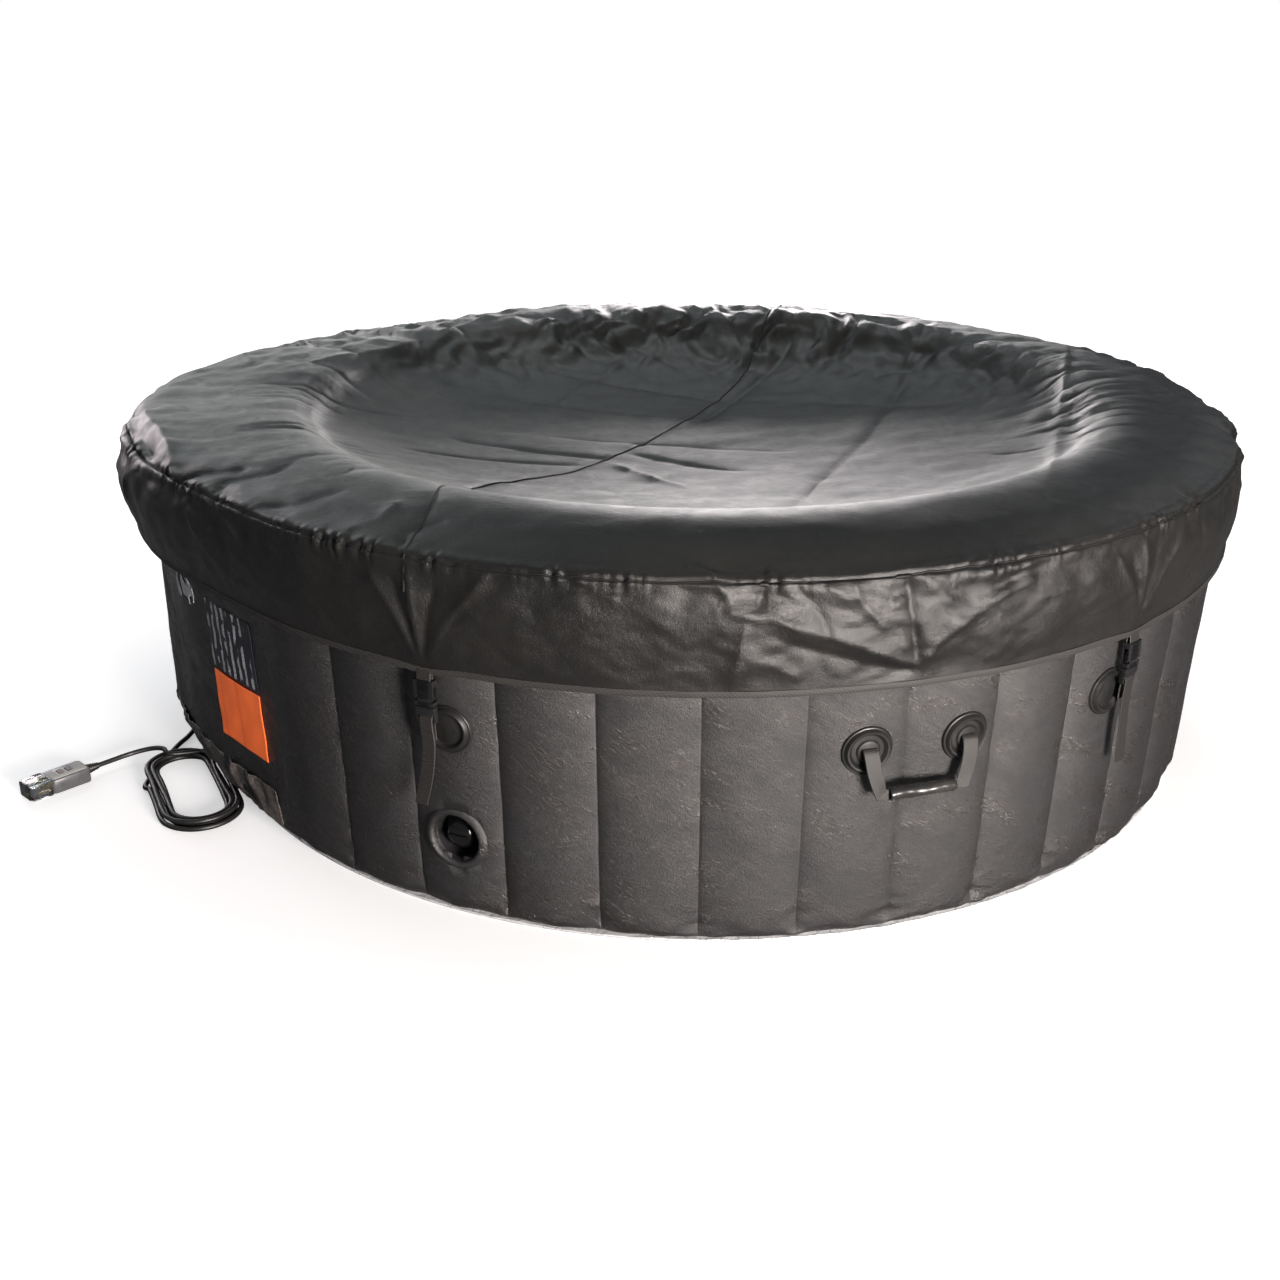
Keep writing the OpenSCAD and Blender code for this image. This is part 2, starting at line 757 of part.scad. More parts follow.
module plug_cap() {
    color([0.85, 0.9, 0.95, 0.4]) at_plug() translate([103, 0, 0]) difference() {
        rounded_block(42, 50, 30, 8);
        translate([-10, -22, 3]) cube([48, 44, 24]);
    }
}

module plug_button(x) {
    at_plug() translate([x - 5, -7, 27.2]) cube([10, 14, 4]);
}

module test_button() {
    color([0.15, 0.3, 0.6]) plug_button(58);
}

module reset_button() {
    color([0.75, 0.15, 0.1]) plug_button(74);
}

outer_wall();
inner_wall();
top_ring();
base_ring();
floor_sheet();
chamber_webs();
pocket_walls();
ground_mat();
air_jet_ring();
info_label();
orange_label();
service_flap();
handle_patches();
strap_patches();
drain_housing();
drain_cap();
air_valve_body();
air_valve_stem();
air_valve_cap();
unit_case();
unit_lid();
display_window();
circuit_board();
button_heat();
button_filter();
button_bubbles();
button_set();
pump_housing();
pump_motor();
pump_impeller();
heater_tube();
water_pipes();
blower_housing();
blower_fan();
wall_fittings();
filter_cartridge();
filter_cap();
cord_gland();
handle_strap_1();
handle_grip_1();
handle_strap_2();
handle_grip_2();
handle_strap_3();
handle_grip_3();
buckle_plug_1();
buckle_plug_2();
buckle_plug_3();
buckle_plug_4();
cover_top();
cover_skirt();
cover_hem();
buckle_sockets();
cord_feed();
cord_coil();
cord_lead();
plug_case();
plug_prongs();
plug_cap();
test_button();
reset_button();
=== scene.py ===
import math

import bmesh
import bpy
import numpy as np
from mathutils import Matrix, Vector
from mathutils.bvhtree import BVHTree


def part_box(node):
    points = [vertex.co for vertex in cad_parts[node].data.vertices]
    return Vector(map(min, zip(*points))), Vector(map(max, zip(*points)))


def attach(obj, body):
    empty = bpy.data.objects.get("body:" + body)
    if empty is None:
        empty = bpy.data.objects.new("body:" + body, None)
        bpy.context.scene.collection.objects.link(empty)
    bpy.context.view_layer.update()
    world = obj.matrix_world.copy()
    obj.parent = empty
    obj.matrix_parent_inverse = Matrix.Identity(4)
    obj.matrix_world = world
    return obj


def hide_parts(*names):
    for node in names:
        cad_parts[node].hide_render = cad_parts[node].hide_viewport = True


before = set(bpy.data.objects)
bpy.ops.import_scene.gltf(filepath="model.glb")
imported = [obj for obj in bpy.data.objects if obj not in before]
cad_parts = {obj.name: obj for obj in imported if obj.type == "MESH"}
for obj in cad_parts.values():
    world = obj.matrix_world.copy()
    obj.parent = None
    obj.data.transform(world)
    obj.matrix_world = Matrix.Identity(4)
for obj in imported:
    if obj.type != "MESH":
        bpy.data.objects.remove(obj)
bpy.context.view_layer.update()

# An inflatable hot tub under its fitted cover, in metres. The front is -Y. An azimuth of 0 looks at
# the front and grows towards +X, so the control unit's bulge is at -90.
scene = bpy.context.scene

# ---- Sizes shared with the CAD model -------------------------------------------------------

WALL_R, WALL_FLARE = 0.977, 0.043
RIB_COUNT, RIB_DEPTH = 40, 0.012
RIB_ANGLE = 360 / RIB_COUNT
BULGE_AZ, BULGE_HALF, BULGE_OUT = -90, 45, 0.088
INNER_R = 0.8
HEM_H = (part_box("cover_hem")[0].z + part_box("cover_hem")[1].z) / 2
CREST_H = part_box("cover_top")[1].z
HEM_R = 1.010
SAG = 0.121
HANDLE_AZ = (18.9, 90, 161.1)
HANDLE_H, PATCH_SPREAD, PIVOT_R, HANDLE_TILT = 0.335, 4.65, 1.003, 10
GRIP_L, GRIP_DROP = 0.108, 0.065
STRAP_AZ, STRAP_H = (-22.5, 40.5, 139.5, -157.5), 0.340
BUCKLE_AZ, BUCKLE_R = (-23.8, 42, 138, -156.2), 1.010
DRAIN_AZ, DRAIN_H, DRAIN_HOLE_R = -22.5, 0.147, 0.0435
AIR_AZ, AIR_H = -139.5, 0.300
GLAND_AZ, GLAND_H = -104, 0.062
WEB_W = 0.025
CORD_D = 0.0095
COIL_AZ, COIL_R, COIL_HALF_L, COIL_HALF_W = -61.8, 1.058, 0.152, 0.066
PLUG_AT, PLUG_TURN, PLUG_LOW = (-1.128, -0.432), 228, 0.001


# ---- Points, curves and noise --------------------------------------------------------------

def around(az, r, z):
    """Points at an azimuth in degrees, a radius and a height."""
    az, r, z = np.broadcast_arrays(np.radians(az), r, z)
    return np.stack([r * np.sin(az), -r * np.cos(az), z], -1)


def azimuth(p):
    return np.degrees(np.arctan2(p[..., 0], -p[..., 1]))


def turned(az, centre):
    """Difference of two azimuths, from -180 to 180."""
    return (np.asarray(az, float) - centre + 180) % 360 - 180


def hill(x, centre, width):
    """A smooth hill of height 1."""
    return np.exp(-(((np.asarray(x, float) - centre) / width) ** 2))


def ramp(x, low, high):
    """A smooth step from 0 at low to 1 at high."""
    t = np.clip((np.asarray(x, float) - low) / (high - low), 0, 1)
    return t * t * (3 - 2 * t)


def bump(az):
    """How much of the bulge an azimuth has, from 0 to 1."""
    d = turned(az, BULGE_AZ) / BULGE_HALF
    return np.where(abs(d) < 1, (1 - d * d) ** 2, 0.0)


def groove(az):
    """Depth of the grooves between the ribs: a flat crown that falls into a crisp valley."""
    t = 2 * np.mod(np.asarray(az, float) / RIB_ANGLE, 1) - 1
    depth = RIB_DEPTH * (0.70 * t * t + 0.42 * (1 - np.sqrt(1 - 0.995 * t * t)))
    return depth * ramp(abs(turned(az, BULGE_AZ)), BULGE_HALF - 1, BULGE_HALF + 4)


def ripple(p, size, seed, waves=20):
    """Smooth noise of about +-1, with hollows and hills of the given size."""
    rng = np.random.default_rng(seed)
    k = rng.normal(size=(waves, p.shape[-1])) * (2.6 / size)
    phase = rng.uniform(0, 2 * math.pi, waves)
    return np.sin(p @ k.T + phase).sum(-1) / math.sqrt(waves / 2) / 1.6


def crumple(p, size, seed, folds=6):
    """Noise of about +-1 made of flat facets that meet in sharp creases."""
    rng = np.random.default_rng(seed)
    warped = p + np.stack(
        [0.35 * size * ripple(p, 1.6 * size, seed + 17 * i, 10) for i in range(1, p.shape[-1] + 1)], -1
    )
    k = rng.normal(size=(folds, p.shape[-1]))
    k *= rng.uniform(0.6, 1.7, (folds, 1)) / np.linalg.norm(k, axis=1, keepdims=True) / size
    x = warped @ k.T + rng.uniform(0, 1, folds)
    return (4 * np.abs(x - np.floor(x) - 0.5) - 1).sum(-1) / math.sqrt(folds / 1.5)


def smooth_curve(points, count=None, step=None):
    """Points on a smooth curve through the given ones, evenly spaced."""
    p = np.asarray(points, float)
    ends = np.vstack([2 * p[0] - p[1], p, 2 * p[-1] - p[-2]])
    fine = []
    for i in range(1, len(ends) - 2):
        a, b, c, d = ends[i - 1: i + 3]
        t = np.linspace(0, 1, 24, endpoint=False)[:, None]
        fine.append(
            0.5 * (2 * b + (c - a) * t + (2 * a - 5 * b + 4 * c - d) * t**2 + (3 * b - a - 3 * c + d) * t**3)
        )
    fine = np.vstack([*fine, p[-1:]])
    run = np.concatenate([[0], np.cumsum(np.linalg.norm(np.diff(fine[:, :3], axis=0), axis=1))])
    if count is None:
        count = max(2, int(run[-1] / step) + 1)
    at = np.linspace(0, run[-1], count)
    return np.stack([np.interp(at, run, fine[:, k]) for k in range(p.shape[1])], -1)


def crease(p, line, height, width):
    """A sharp crease along a line of points in two dimensions, fading towards its ends."""
    line = np.asarray(line, float)
    total = np.linalg.norm(np.diff(line, axis=0), axis=1).sum()
    best = np.full(len(p), 1e9)
    fade = np.zeros(len(p))
    run = 0.0
    for a, b in zip(line[:-1], line[1:]):
        length = np.linalg.norm(b - a)
        t = np.clip(((p - a) @ (b - a)) / length**2, 0, 1)
        d = np.linalg.norm(p - a - t[:, None] * (b - a), axis=1)
        along = (run + t * length) / total
        near = d < best
        best = np.where(near, d, best)
        fade = np.where(near, np.minimum(along, 1 - along), fade)
        run += length
    return height * np.exp(-np.sqrt(best**2 + (0.12 * width) ** 2) / width) * ramp(fade, -0.06, 0.16)


# ---- Meshes --------------------------------------------------------------------------------

def grid_faces(rows, cols, wrap_rows=False, wrap_cols=False):
    """Quads of a grid of points in rows. The normal is along row direction x column direction."""
    i = np.arange(rows if wrap_rows else rows - 1)[:, None]
    j = np.arange(cols if wrap_cols else cols - 1)[None, :]
    i2, j2 = (i + 1) % rows, (j + 1) % cols
    quads = np.stack(np.broadcast_arrays(i * cols + j, i2 * cols + j, i2 * cols + j2, i * cols + j2), -1)
    return quads.reshape(-1, 4).tolist()


def closed_tube_faces(rows, sides):
    """Faces of rows of points round a bar, with a flat end at both of its ends."""
    last = (rows - 1) * sides
    ends = [list(range(sides))[::-1], [last + i for i in range(sides)]]
    return grid_faces(rows, sides, wrap_cols=True) + ends


def settle(obj, material, body, replaces=()):
    """Gives a piece its material, its body and the CAD nodes that it stands for."""
    obj.data.materials.clear()
    obj.data.materials.append(material)
    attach(obj, body)
    if replaces:
        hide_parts(*replaces)
    return obj


def make(name, points, faces, material, body="tub", replaces=(), thick=0.0):
    """A smooth mesh piece: closed as it is, or an open surface that a modifier thickens inwards."""
    mesh = bpy.data.meshes.new(name)
    mesh.from_pydata(np.asarray(points, float).tolist(), [], faces)
    mesh.validate()
    if not thick:
        closed = bmesh.new()
        closed.from_mesh(mesh)
        bmesh.ops.recalc_face_normals(closed, faces=closed.faces)
        closed.to_mesh(mesh)
        closed.free()
    mesh.shade_smooth()
    obj = bpy.data.objects.new(name, mesh)
    scene.collection.objects.link(obj)
    if thick:
        shell = obj.modifiers.new("thickness", "SOLIDIFY")
        shell.thickness = thick
        shell.offset = -1
    return settle(obj, material, body, replaces)


class Form:
    """A mesh in the making, put together from several closed parts."""

    def __init__(self, place=None):
        self.place = place or Matrix.Identity(4)
        self.points, self.faces = [], []

    def add(self, points, faces, place=None):
        m = np.array(self.place @ (place or Matrix.Identity(4)))
        p = np.asarray(points, float).reshape(-1, 3) @ m[:3, :3].T + m[:3, 3]
        first = len(self.points)
        self.points += p.tolist()
        self.faces += [[first + i for i in f] for f in faces]

    def block(self, size, centre, r=0.0015, place=None):
        """A block with rounded edges."""
        shape = bmesh.new()
        bmesh.ops.create_cube(shape, size=1)
        bmesh.ops.scale(shape, vec=size, verts=shape.verts)
        bmesh.ops.translate(shape, vec=centre, verts=shape.verts)
        r = min(r, 0.45 * min(size))
        bmesh.ops.bevel(shape, geom=shape.edges[:], offset=r, segments=2, profile=0.6, affect="EDGES")
        self.add([v.co for v in shape.verts], [[v.index for v in f.verts] for f in shape.faces], place)
        shape.free()

    def lathe(self, profile, steps=48, place=None, wave=None):
        """A closed outline of (radius, height) turned about the local Z axis."""
        profile = np.asarray(profile, float)
        a = np.arange(steps) * 2 * math.pi / steps
        r = profile[:, 0][:, None] * np.ones(steps)
        if wave is not None:
            r = r + wave(profile, a)
        points = np.stack([r * np.cos(a), r * np.sin(a), profile[:, 1][:, None] + 0 * r], -1)
        self.add(points, grid_faces(len(profile), steps, True, True), place)

    def tube(self, path, radius, sides=10, place=None):
        """A round bar along a path, closed at both ends."""
        path = np.asarray(path, float)
        heading = np.gradient(path, axis=0)
        heading /= np.linalg.norm(heading, axis=1, keepdims=True)
        side = np.cross(heading[0], (0.31, 0.17, 0.93))
        rings = []
        for p, t, r in zip(path, heading, np.broadcast_to(radius, len(path))):
            side = side - t * (side @ t)
            side /= np.linalg.norm(side)
            a = np.arange(sides)[:, None] * 2 * math.pi / sides
            rings.append(p + r * (np.cos(a) * side + np.sin(a) * np.cross(t, side)))
        self.add(np.vstack(rings), closed_tube_faces(len(path), sides), place)

    def ribbon(self, path, across, width, thick, ribs=0.0, place=None):
        """A woven strap along a path. across is each row's direction of width, not always of length 1."""
        path, across = np.asarray(path, float), np.asarray(across, float)
        across = np.broadcast_to(across, path.shape)
        up = np.cross(np.gradient(path, axis=0), across)
        up /= np.linalg.norm(up, axis=1, keepdims=True)
        swell = thick / 2 + ribs * (np.arange(len(path)) % 2)
        outline = ((-0.5, 0), (-0.46, 1), (-0.16, 1.12), (0.16, 1.12), (0.46, 1),
                   (0.5, 0), (0.46, -1), (0.16, -1.12), (-0.16, -1.12), (-0.46, -1))
        rows = [path + width * x * across + y * swell[:, None] * up for x, y in outline]
        self.add(np.stack(rows, 1), closed_tube_faces(len(path), len(outline)), place)

    def piece(self, name, material, body, slot=None, replaces=()):
        obj = make(name, self.points, self.faces, material, body, replaces)
        with bpy.context.temp_override(object=obj, active_object=obj, selected_editable_objects=[obj]):
            bpy.ops.object.shade_smooth_by_angle(angle=math.radians(38))
        return obj


def wall_frame(az, h, r=0.0):
    """Local frame on the wall: x to the right, y up and z outwards, seen from outside."""
    a = math.radians(az)
    return Matrix((
        (math.cos(a), 0, math.sin(a), r * math.sin(a)),
        (math.sin(a), 0, -math.cos(a), -r * math.cos(a)),
        (0, 1, 0, h),
        (0, 0, 0, 1),
    ))


# ---- Material building ---------------------------------------------------------------------

class Paint:
    """A material and short ways to add its nodes."""

    def __init__(self, name, colour=(0.5, 0.5, 0.5), rough=0.5, **sockets):
        self.material = bpy.data.materials.new(name)
        self.material.use_nodes = True
        self.nodes = self.material.node_tree.nodes
        self.links = self.material.node_tree.links
        self.shader = self.nodes["Principled BSDF"]
        self.shader.inputs["Base Color"].default_value = (*colour, 1)
        self.shader.inputs["Roughness"].default_value = rough
        for key, value in sockets.items():
            self.shader.inputs[key.replace("_", " ")].default_value = value
        self.place = self.nodes.new("ShaderNodeTexCoord").outputs["Object"]

    def feed(self, socket, value):
        if isinstance(value, bpy.types.NodeSocket):
            self.links.new(value, socket)
        else:
            socket.default_value = value

    def math(self, kind, a, b=0.0, clamp=False):
        node = self.nodes.new("ShaderNodeMath")
        node.operation, node.use_clamp = kind, clamp
        self.feed(node.inputs[0], a)
        self.feed(node.inputs[1], b)
        return node.outputs[0]

    def scaled(self, factors, turn=(0, 0, 0), vector=None):
        node = self.nodes.new("ShaderNodeMapping")
        node.inputs["Scale"].default_value = factors
        node.inputs["Rotation"].default_value = turn
        self.links.new(vector or self.place, node.inputs["Vector"])
        return node.outputs[0]

    def unrolled(self):
        """Coordinates along the wall, as an angle, and up it."""
        split = self.nodes.new("ShaderNodeSeparateXYZ")
        self.links.new(self.place, split.inputs[0])
        x, y, z = split.outputs
        along = self.math("ARCTAN2", x, self.math("MULTIPLY", y, -1.0))
        joined = self.nodes.new("ShaderNodeCombineXYZ")
        self.links.new(along, joined.inputs[0])
        self.links.new(z, joined.inputs[1])
        return joined.outputs[0]

    def noise(self, scale, detail=3.0, rough=0.55, vector=None, twist=0.0):
        node = self.nodes.new("ShaderNodeTexNoise")
        node.inputs["Scale"].default_value = scale
        node.inputs["Detail"].default_value = detail
        node.inputs["Roughness"].default_value = rough
        node.inputs["Distortion"].default_value = twist
        self.links.new(vector or self.place, node.inputs["Vector"])
        return node.outputs["Fac"]

    def cells(self, scale, vector=None):
        """Distance to the nearest edge between cells."""
        node = self.nodes.new("ShaderNodeTexVoronoi")
        node.feature = "DISTANCE_TO_EDGE"
        node.inputs["Scale"].default_value = scale
        self.links.new(vector or self.place, node.inputs["Vector"])
        return node.outputs["Distance"]

    def waves(self, scale, direction, twist=0.0):
        node = self.nodes.new("ShaderNodeTexWave")
        node.bands_direction = direction
        node.inputs["Scale"].default_value = scale
        node.inputs["Distortion"].default_value = twist
        self.links.new(self.place, node.inputs["Vector"])
        return node.outputs["Fac"]

    def blend(self, factor, low, high):
        """A colour or a number between low and high."""
        if isinstance(low, (int, float)):
            node = self.nodes.new("ShaderNodeMapRange")
            self.feed(node.inputs["Value"], factor)
            node.inputs["To Min"].default_value, node.inputs["To Max"].default_value = low, high
            return node.outputs["Result"]
        node = self.nodes.new("ShaderNodeMix")
        node.data_type = "RGBA"
        self.feed(node.inputs[0], factor)
        self.feed(node.inputs[6], low if not isinstance(low, tuple) else (*low, 1))
        self.feed(node.inputs[7], high if not isinstance(high, tuple) else (*high, 1))
        return node.outputs[2]

    def spread(self, value, low, high):
        """Stretches the middle of a noise to the whole range from 0 to 1."""
        node = self.nodes.new("ShaderNodeMapRange")
        self.feed(node.inputs["Value"], value)
        node.inputs["From Min"].default_value, node.inputs["From Max"].default_value = low, high
        return node.outputs["Result"]

    def colour(self, value):
        self.links.new(value, self.shader.inputs["Base Color"])

    def seen_as(self, light_sees, camera_sees, output):
        """The camera sees one shader, and light that bounces off it meets the other."""
        mix = self.nodes.new("ShaderNodeMixShader")
        self.links.new(self.nodes.new("ShaderNodeLightPath").outputs["Is Camera Ray"], mix.inputs[0])
        self.links.new(light_sees, mix.inputs[1])
        self.links.new(camera_sees, mix.inputs[2])
        self.links.new(mix.outputs[0], self.nodes[output].inputs[0])

    def rough(self, value):
        self.links.new(value, self.shader.inputs["Roughness"])

    def bump(self, height, strength, distance):
        """Adds relief on top of the relief already there."""
        node = self.nodes.new("ShaderNodeBump")
        node.inputs["Strength"].default_value = strength
        node.inputs["Distance"].default_value = distance
        self.feed(node.inputs["Height"], height)
        normal = self.shader.inputs["Normal"]
        if normal.is_linked:
            self.links.new(normal.links[0].from_socket, node.inputs["Normal"])
        self.links.new(node.outputs[0], normal)


def wall_vinyl():
    """Black laminate with a brushed leather grain of short slanted hairs."""
    p = Paint("wall_vinyl", rough=0.5, Specular_IOR_Level=0.9)
    flat = p.unrolled()
    patches = p.noise(9.0, 6, 0.66, p.scaled((0.8, 1.25, 1.0), vector=flat), 0.4)
    slanted = p.scaled((1.0, 3.5, 1.0), vector=p.scaled((1, 1, 1), (0, 0, math.radians(36)), flat))
    clouds = p.noise(4.5, 7, 0.72, slanted, 0.6)
    hairs = p.noise(75, 6, 0.75, slanted, 0.8)
    grain = p.noise(330, 5, 0.75, flat)
    tone = p.math("ADD", p.math("MULTIPLY", patches, 0.38), p.math("MULTIPLY", hairs, 0.30))
    tone = p.math("ADD", tone, p.math("MULTIPLY", clouds, 0.32))
    p.colour(p.blend(p.spread(tone, 0.45, 0.57), (0.0006, 0.0008, 0.0016), (0.018, 0.0160, 0.0155)))
    p.rough(p.blend(p.spread(tone, 0.45, 0.56), 0.60, 0.26))
    p.bump(hairs, 0.6, 0.0013)
    p.bump(grain, 1.0, 0.0015)
    p.bump(patches, 0.6, 0.0050)
    return p.material


def cover_vinyl():
    """Black leatherette with a soft gloss, fine grain and small crinkles."""
    p = Paint("cover_vinyl", rough=0.36, Specular_IOR_Level=0.42)
    drift = p.noise(3.5, 5, 0.6)
    crinkle = p.noise(24, 6, 0.66, twist=1.0)
    weave = p.noise(130, 4, 0.65)
    grain = p.noise(620, 3, 0.6)
    p.colour(p.blend(p.spread(drift, 0.36, 0.64), (0.0080, 0.0080, 0.0080), (0.0150, 0.0142, 0.0130)))
    p.rough(p.blend(p.spread(crinkle, 0.35, 0.65), 0.31, 0.42))
    p.bump(grain, 0.8, 0.0009)
    p.bump(weave, 0.5, 0.0014)
    p.bump(crinkle, 0.25, 0.0030)
    return p.material


def woven(name, dark, light, pitch, rough=0.62):
    """Woven tape: fine ribs one way and yarns the other."""
    p = Paint(name, rough=rough, Specular_IOR_Level=0.4)
    rows = p.waves(0.32 / pitch, "Z")
    yarns = p.waves(0.2 / pitch, "DIAGONAL", twist=1.0)
    fuzz = p.noise(700, 3, 0.6)
    weave = p.math("MULTIPLY", rows, yarns)
    p.colour(p.blend(p.math("MULTIPLY", p.math("ADD", weave, fuzz), 0.62, True), dark, light))
    p.bump(weave, 0.5, 0.0006)
    p.bump(fuzz, 0.3, 0.0002)
    return p.material


def moulded(name, dark, light, rough, texture=1400):
    """Moulded plastic: a faint spark texture and slightly worn gloss."""
    p = Paint(name, rough=rough)
    tone = p.noise(18, 4, 0.6)
    fine = p.noise(texture, 2, 0.5)
    p.colour(p.blend(p.spread(tone, 0.35, 0.65), dark, light))
    p.rough(p.blend(p.spread(p.noise(45, 4, 0.65), 0.3, 0.7), rough - 0.06, rough + 0.08))
    p.bump(fine, 0.18, 0.00025)
    return p.material


def metal(name, dark, light, rough):
    """Brushed metal with fine drawn lines."""
    p = Paint(name, rough=rough, Metallic=1.0)
    lines = p.noise(120, 4, 0.7, p.scaled((1, 14, 14)))
    p.colour(p.blend(lines, dark, light))
    p.rough(p.blend(lines, rough - 0.08, rough + 0.12))
    p.bump(lines, 0.15, 0.0002)
    return p.material


def foil():
    """Foil-faced foam, wrinkled all over."""
    p = Paint("foil", rough=0.34, Metallic=0.45)
    wrinkle = p.noise(60, 5, 0.6, twist=1.2)
    facets = p.cells(85)
    p.colour(p.blend(p.noise(12, 4, 0.6), (0.66, 0.67, 0.69), (0.92, 0.93, 0.95)))
    p.rough(p.blend(p.spread(wrinkle, 0.3, 0.7), 0.2, 0.42))
    p.bump(wrinkle, 0.7, 0.003)
    p.bump(facets, 0.5, 0.002)
    return p.material


def liner():
    """Blue-grey liner with a fine pebble grain."""
    p = Paint("liner", rough=0.45)
    pebble = p.cells(420)
    p.colour(p.blend(p.noise(6, 5, 0.6), (0.075, 0.085, 0.10), (0.125, 0.14, 0.16)))
    p.rough(p.blend(p.noise(20, 3, 0.5), 0.38, 0.52))
    p.bump(pebble, 0.3, 0.0005)
    return p.material


def clear_plastic():
    """Clear moulding with faint flow marks."""
    p = Paint("clear_plastic", (0.93, 0.96, 0.98), 0.08, Transmission_Weight=1.0, IOR=1.46)
    flow = p.noise(60, 2, 0.5)
    p.rough(p.blend(flow, 0.04, 0.16))
    p.bump(flow, 0.1, 0.0006)
    return p.material


def printed_marks(name, ground, ground_worn, ink, across, up, edge, painted_glow=0.0):
    """A printed label with generic strokes: rows of short bars of uneven length, never letters."""
    # painted_glow makes the ground colour shine by itself: painted light that brightens the label beyond
    # what the lamps give it
    p = Paint(name, rough=0.42, Emission_Strength=painted_glow)
    p.shader.inputs["Emission Color"].default_value = (*ground, 1)
    flat = p.unrolled()
    split = p.nodes.new("ShaderNodeSeparateXYZ")
    p.links.new(flat, split.inputs[0])
    column = p.math("FRACT", p.math("MULTIPLY", split.outputs[0], 1 / across))
    bars = p.math("MULTIPLY", p.math("GREATER_THAN", column, 0.3), p.math("LESS_THAN", column, 0.72))
    broken = p.noise(1.0, 1, 0.5, p.scaled((1 / across, 1 / up, 1), vector=flat))
    dashes = p.math("GREATER_THAN", broken, edge)
    chips = p.math("GREATER_THAN", p.noise(420, 4, 0.7, flat), 0.47)
    mask = p.math("MULTIPLY", p.math("MULTIPLY", bars, dashes), chips)
    base = p.blend(p.spread(p.noise(30, 4, 0.6, flat), 0.35, 0.65), ground, ground_worn)
    p.colour(p.blend(mask, base, ink))
    p.bump(mask, 0.2, 0.0002)
    p.bump(p.noise(90, 4, 0.6, flat), 0.4, 0.0012)
    return p.material


def circuit():
    """Green board with paler copper runs under the lacquer."""
    p = Paint("circuit", rough=0.35)
    runs = p.math("GREATER_THAN", p.cells(150), 0.06)
    p.colour(p.blend(runs, (0.05, 0.26, 0.10), (0.012, 0.10, 0.035)))
    p.bump(runs, 0.3, 0.0002)
    return p.material


def pleated_paper():
    """Fibrous filter paper."""
    p = Paint("pleated_paper", rough=0.85)
    fibre = p.noise(260, 4, 0.7)
    p.colour(p.blend(fibre, (0.72, 0.71, 0.66), (0.86, 0.86, 0.82)))
    p.bump(fibre, 0.4, 0.0006)
    return p.material


def flap_leather():
    """Worn grey-brown leathery vinyl with open creases."""
    p = Paint("flap_leather", rough=0.42, Specular_IOR_Level=0.5)
    flat = p.unrolled()
    creases = p.cells(46, vector=p.scaled((1, 2.2, 1), vector=flat))
    fine = p.noise(160, 5, 0.65, flat, 0.6)
    p.colour(p.blend(p.spread(fine, 0.35, 0.65), (0.050, 0.043, 0.040), (0.170, 0.150, 0.140)))
    p.rough(p.blend(fine, 0.5, 0.34))
    p.bump(creases, 0.5, 0.0022)
    p.bump(fine, 0.6, 0.0012)
    return p.material


VINYL = wall_vinyl()
COVER = cover_vinyl()
HEM = woven("hem_tape", (0.008, 0.008, 0.008), (0.042, 0.040, 0.038), 0.0022)
WEB = woven("webbing", (0.005, 0.005, 0.005), (0.034, 0.031, 0.029), 0.0018, 0.55)
THREAD = woven("thread", (0.004, 0.004, 0.004), (0.012, 0.012, 0.012), 0.0012, 0.7)
BLACK = moulded("black_plastic", (0.007, 0.007, 0.008), (0.014, 0.014, 0.015), 0.32)
GLOSS = moulded("gloss_plastic", (0.004, 0.004, 0.004), (0.008, 0.008, 0.009), 0.16, 300)
SLEEVE = moulded("grip_sleeve", (0.013, 0.013, 0.013), (0.028, 0.027, 0.026), 0.24, 220)
PATCH = moulded("patch_vinyl", (0.007, 0.007, 0.007), (0.016, 0.0155, 0.015), 0.40, 600)
GREY = moulded("grey_plastic", (0.075, 0.078, 0.083), (0.115, 0.118, 0.125), 0.45)
PALE = moulded("pale_plastic", (0.58, 0.59, 0.60), (0.70, 0.71, 0.72), 0.4)
LENS = moulded("display_lens", (0.004, 0.008, 0.010), (0.008, 0.014, 0.017), 0.12, 90)
RUBBER = moulded("cord_rubber", (0.006, 0.006, 0.0065), (0.014, 0.0138, 0.0135), 0.42, 900)
PLUG_DARK = moulded("plug_dark", (0.075, 0.077, 0.081), (0.115, 0.117, 0.121), 0.3)
PLUG_FACE = moulded("plug_face", (0.34, 0.34, 0.32), (0.46, 0.46, 0.44), 0.34)
BLUE = moulded("button_blue", (0.055, 0.062, 0.080), (0.075, 0.085, 0.105), 0.35)
RED = moulded("button_red", (0.115, 0.075, 0.070), (0.150, 0.095, 0.085), 0.35)
STEEL = metal("brushed_steel", (0.40, 0.41, 0.42), (0.66, 0.67, 0.68), 0.3)
BRASS = metal("prong_brass", (0.62, 0.52, 0.32), (0.86, 0.76, 0.52), 0.2)
FOIL, LINER, CLEAR = foil(), liner(), clear_plastic()
PAPER, BOARD, FLAP = pleated_paper(), circuit(), flap_leather()


# ---- Camera --------------------------------------------------------------------------------

camera = bpy.data.objects.new("camera", bpy.data.cameras.new("camera"))
scene.collection.objects.link(camera)
camera.location = (-0.0389, -2.9307, 1.334)
camera.rotation_euler = (math.radians(67.21), 0, math.radians(1.46))
camera.data.lens = 42.19
camera.data.sensor_width = 36
scene.camera = camera


# ---- Supply cord ---------------------------------------------------------------------------

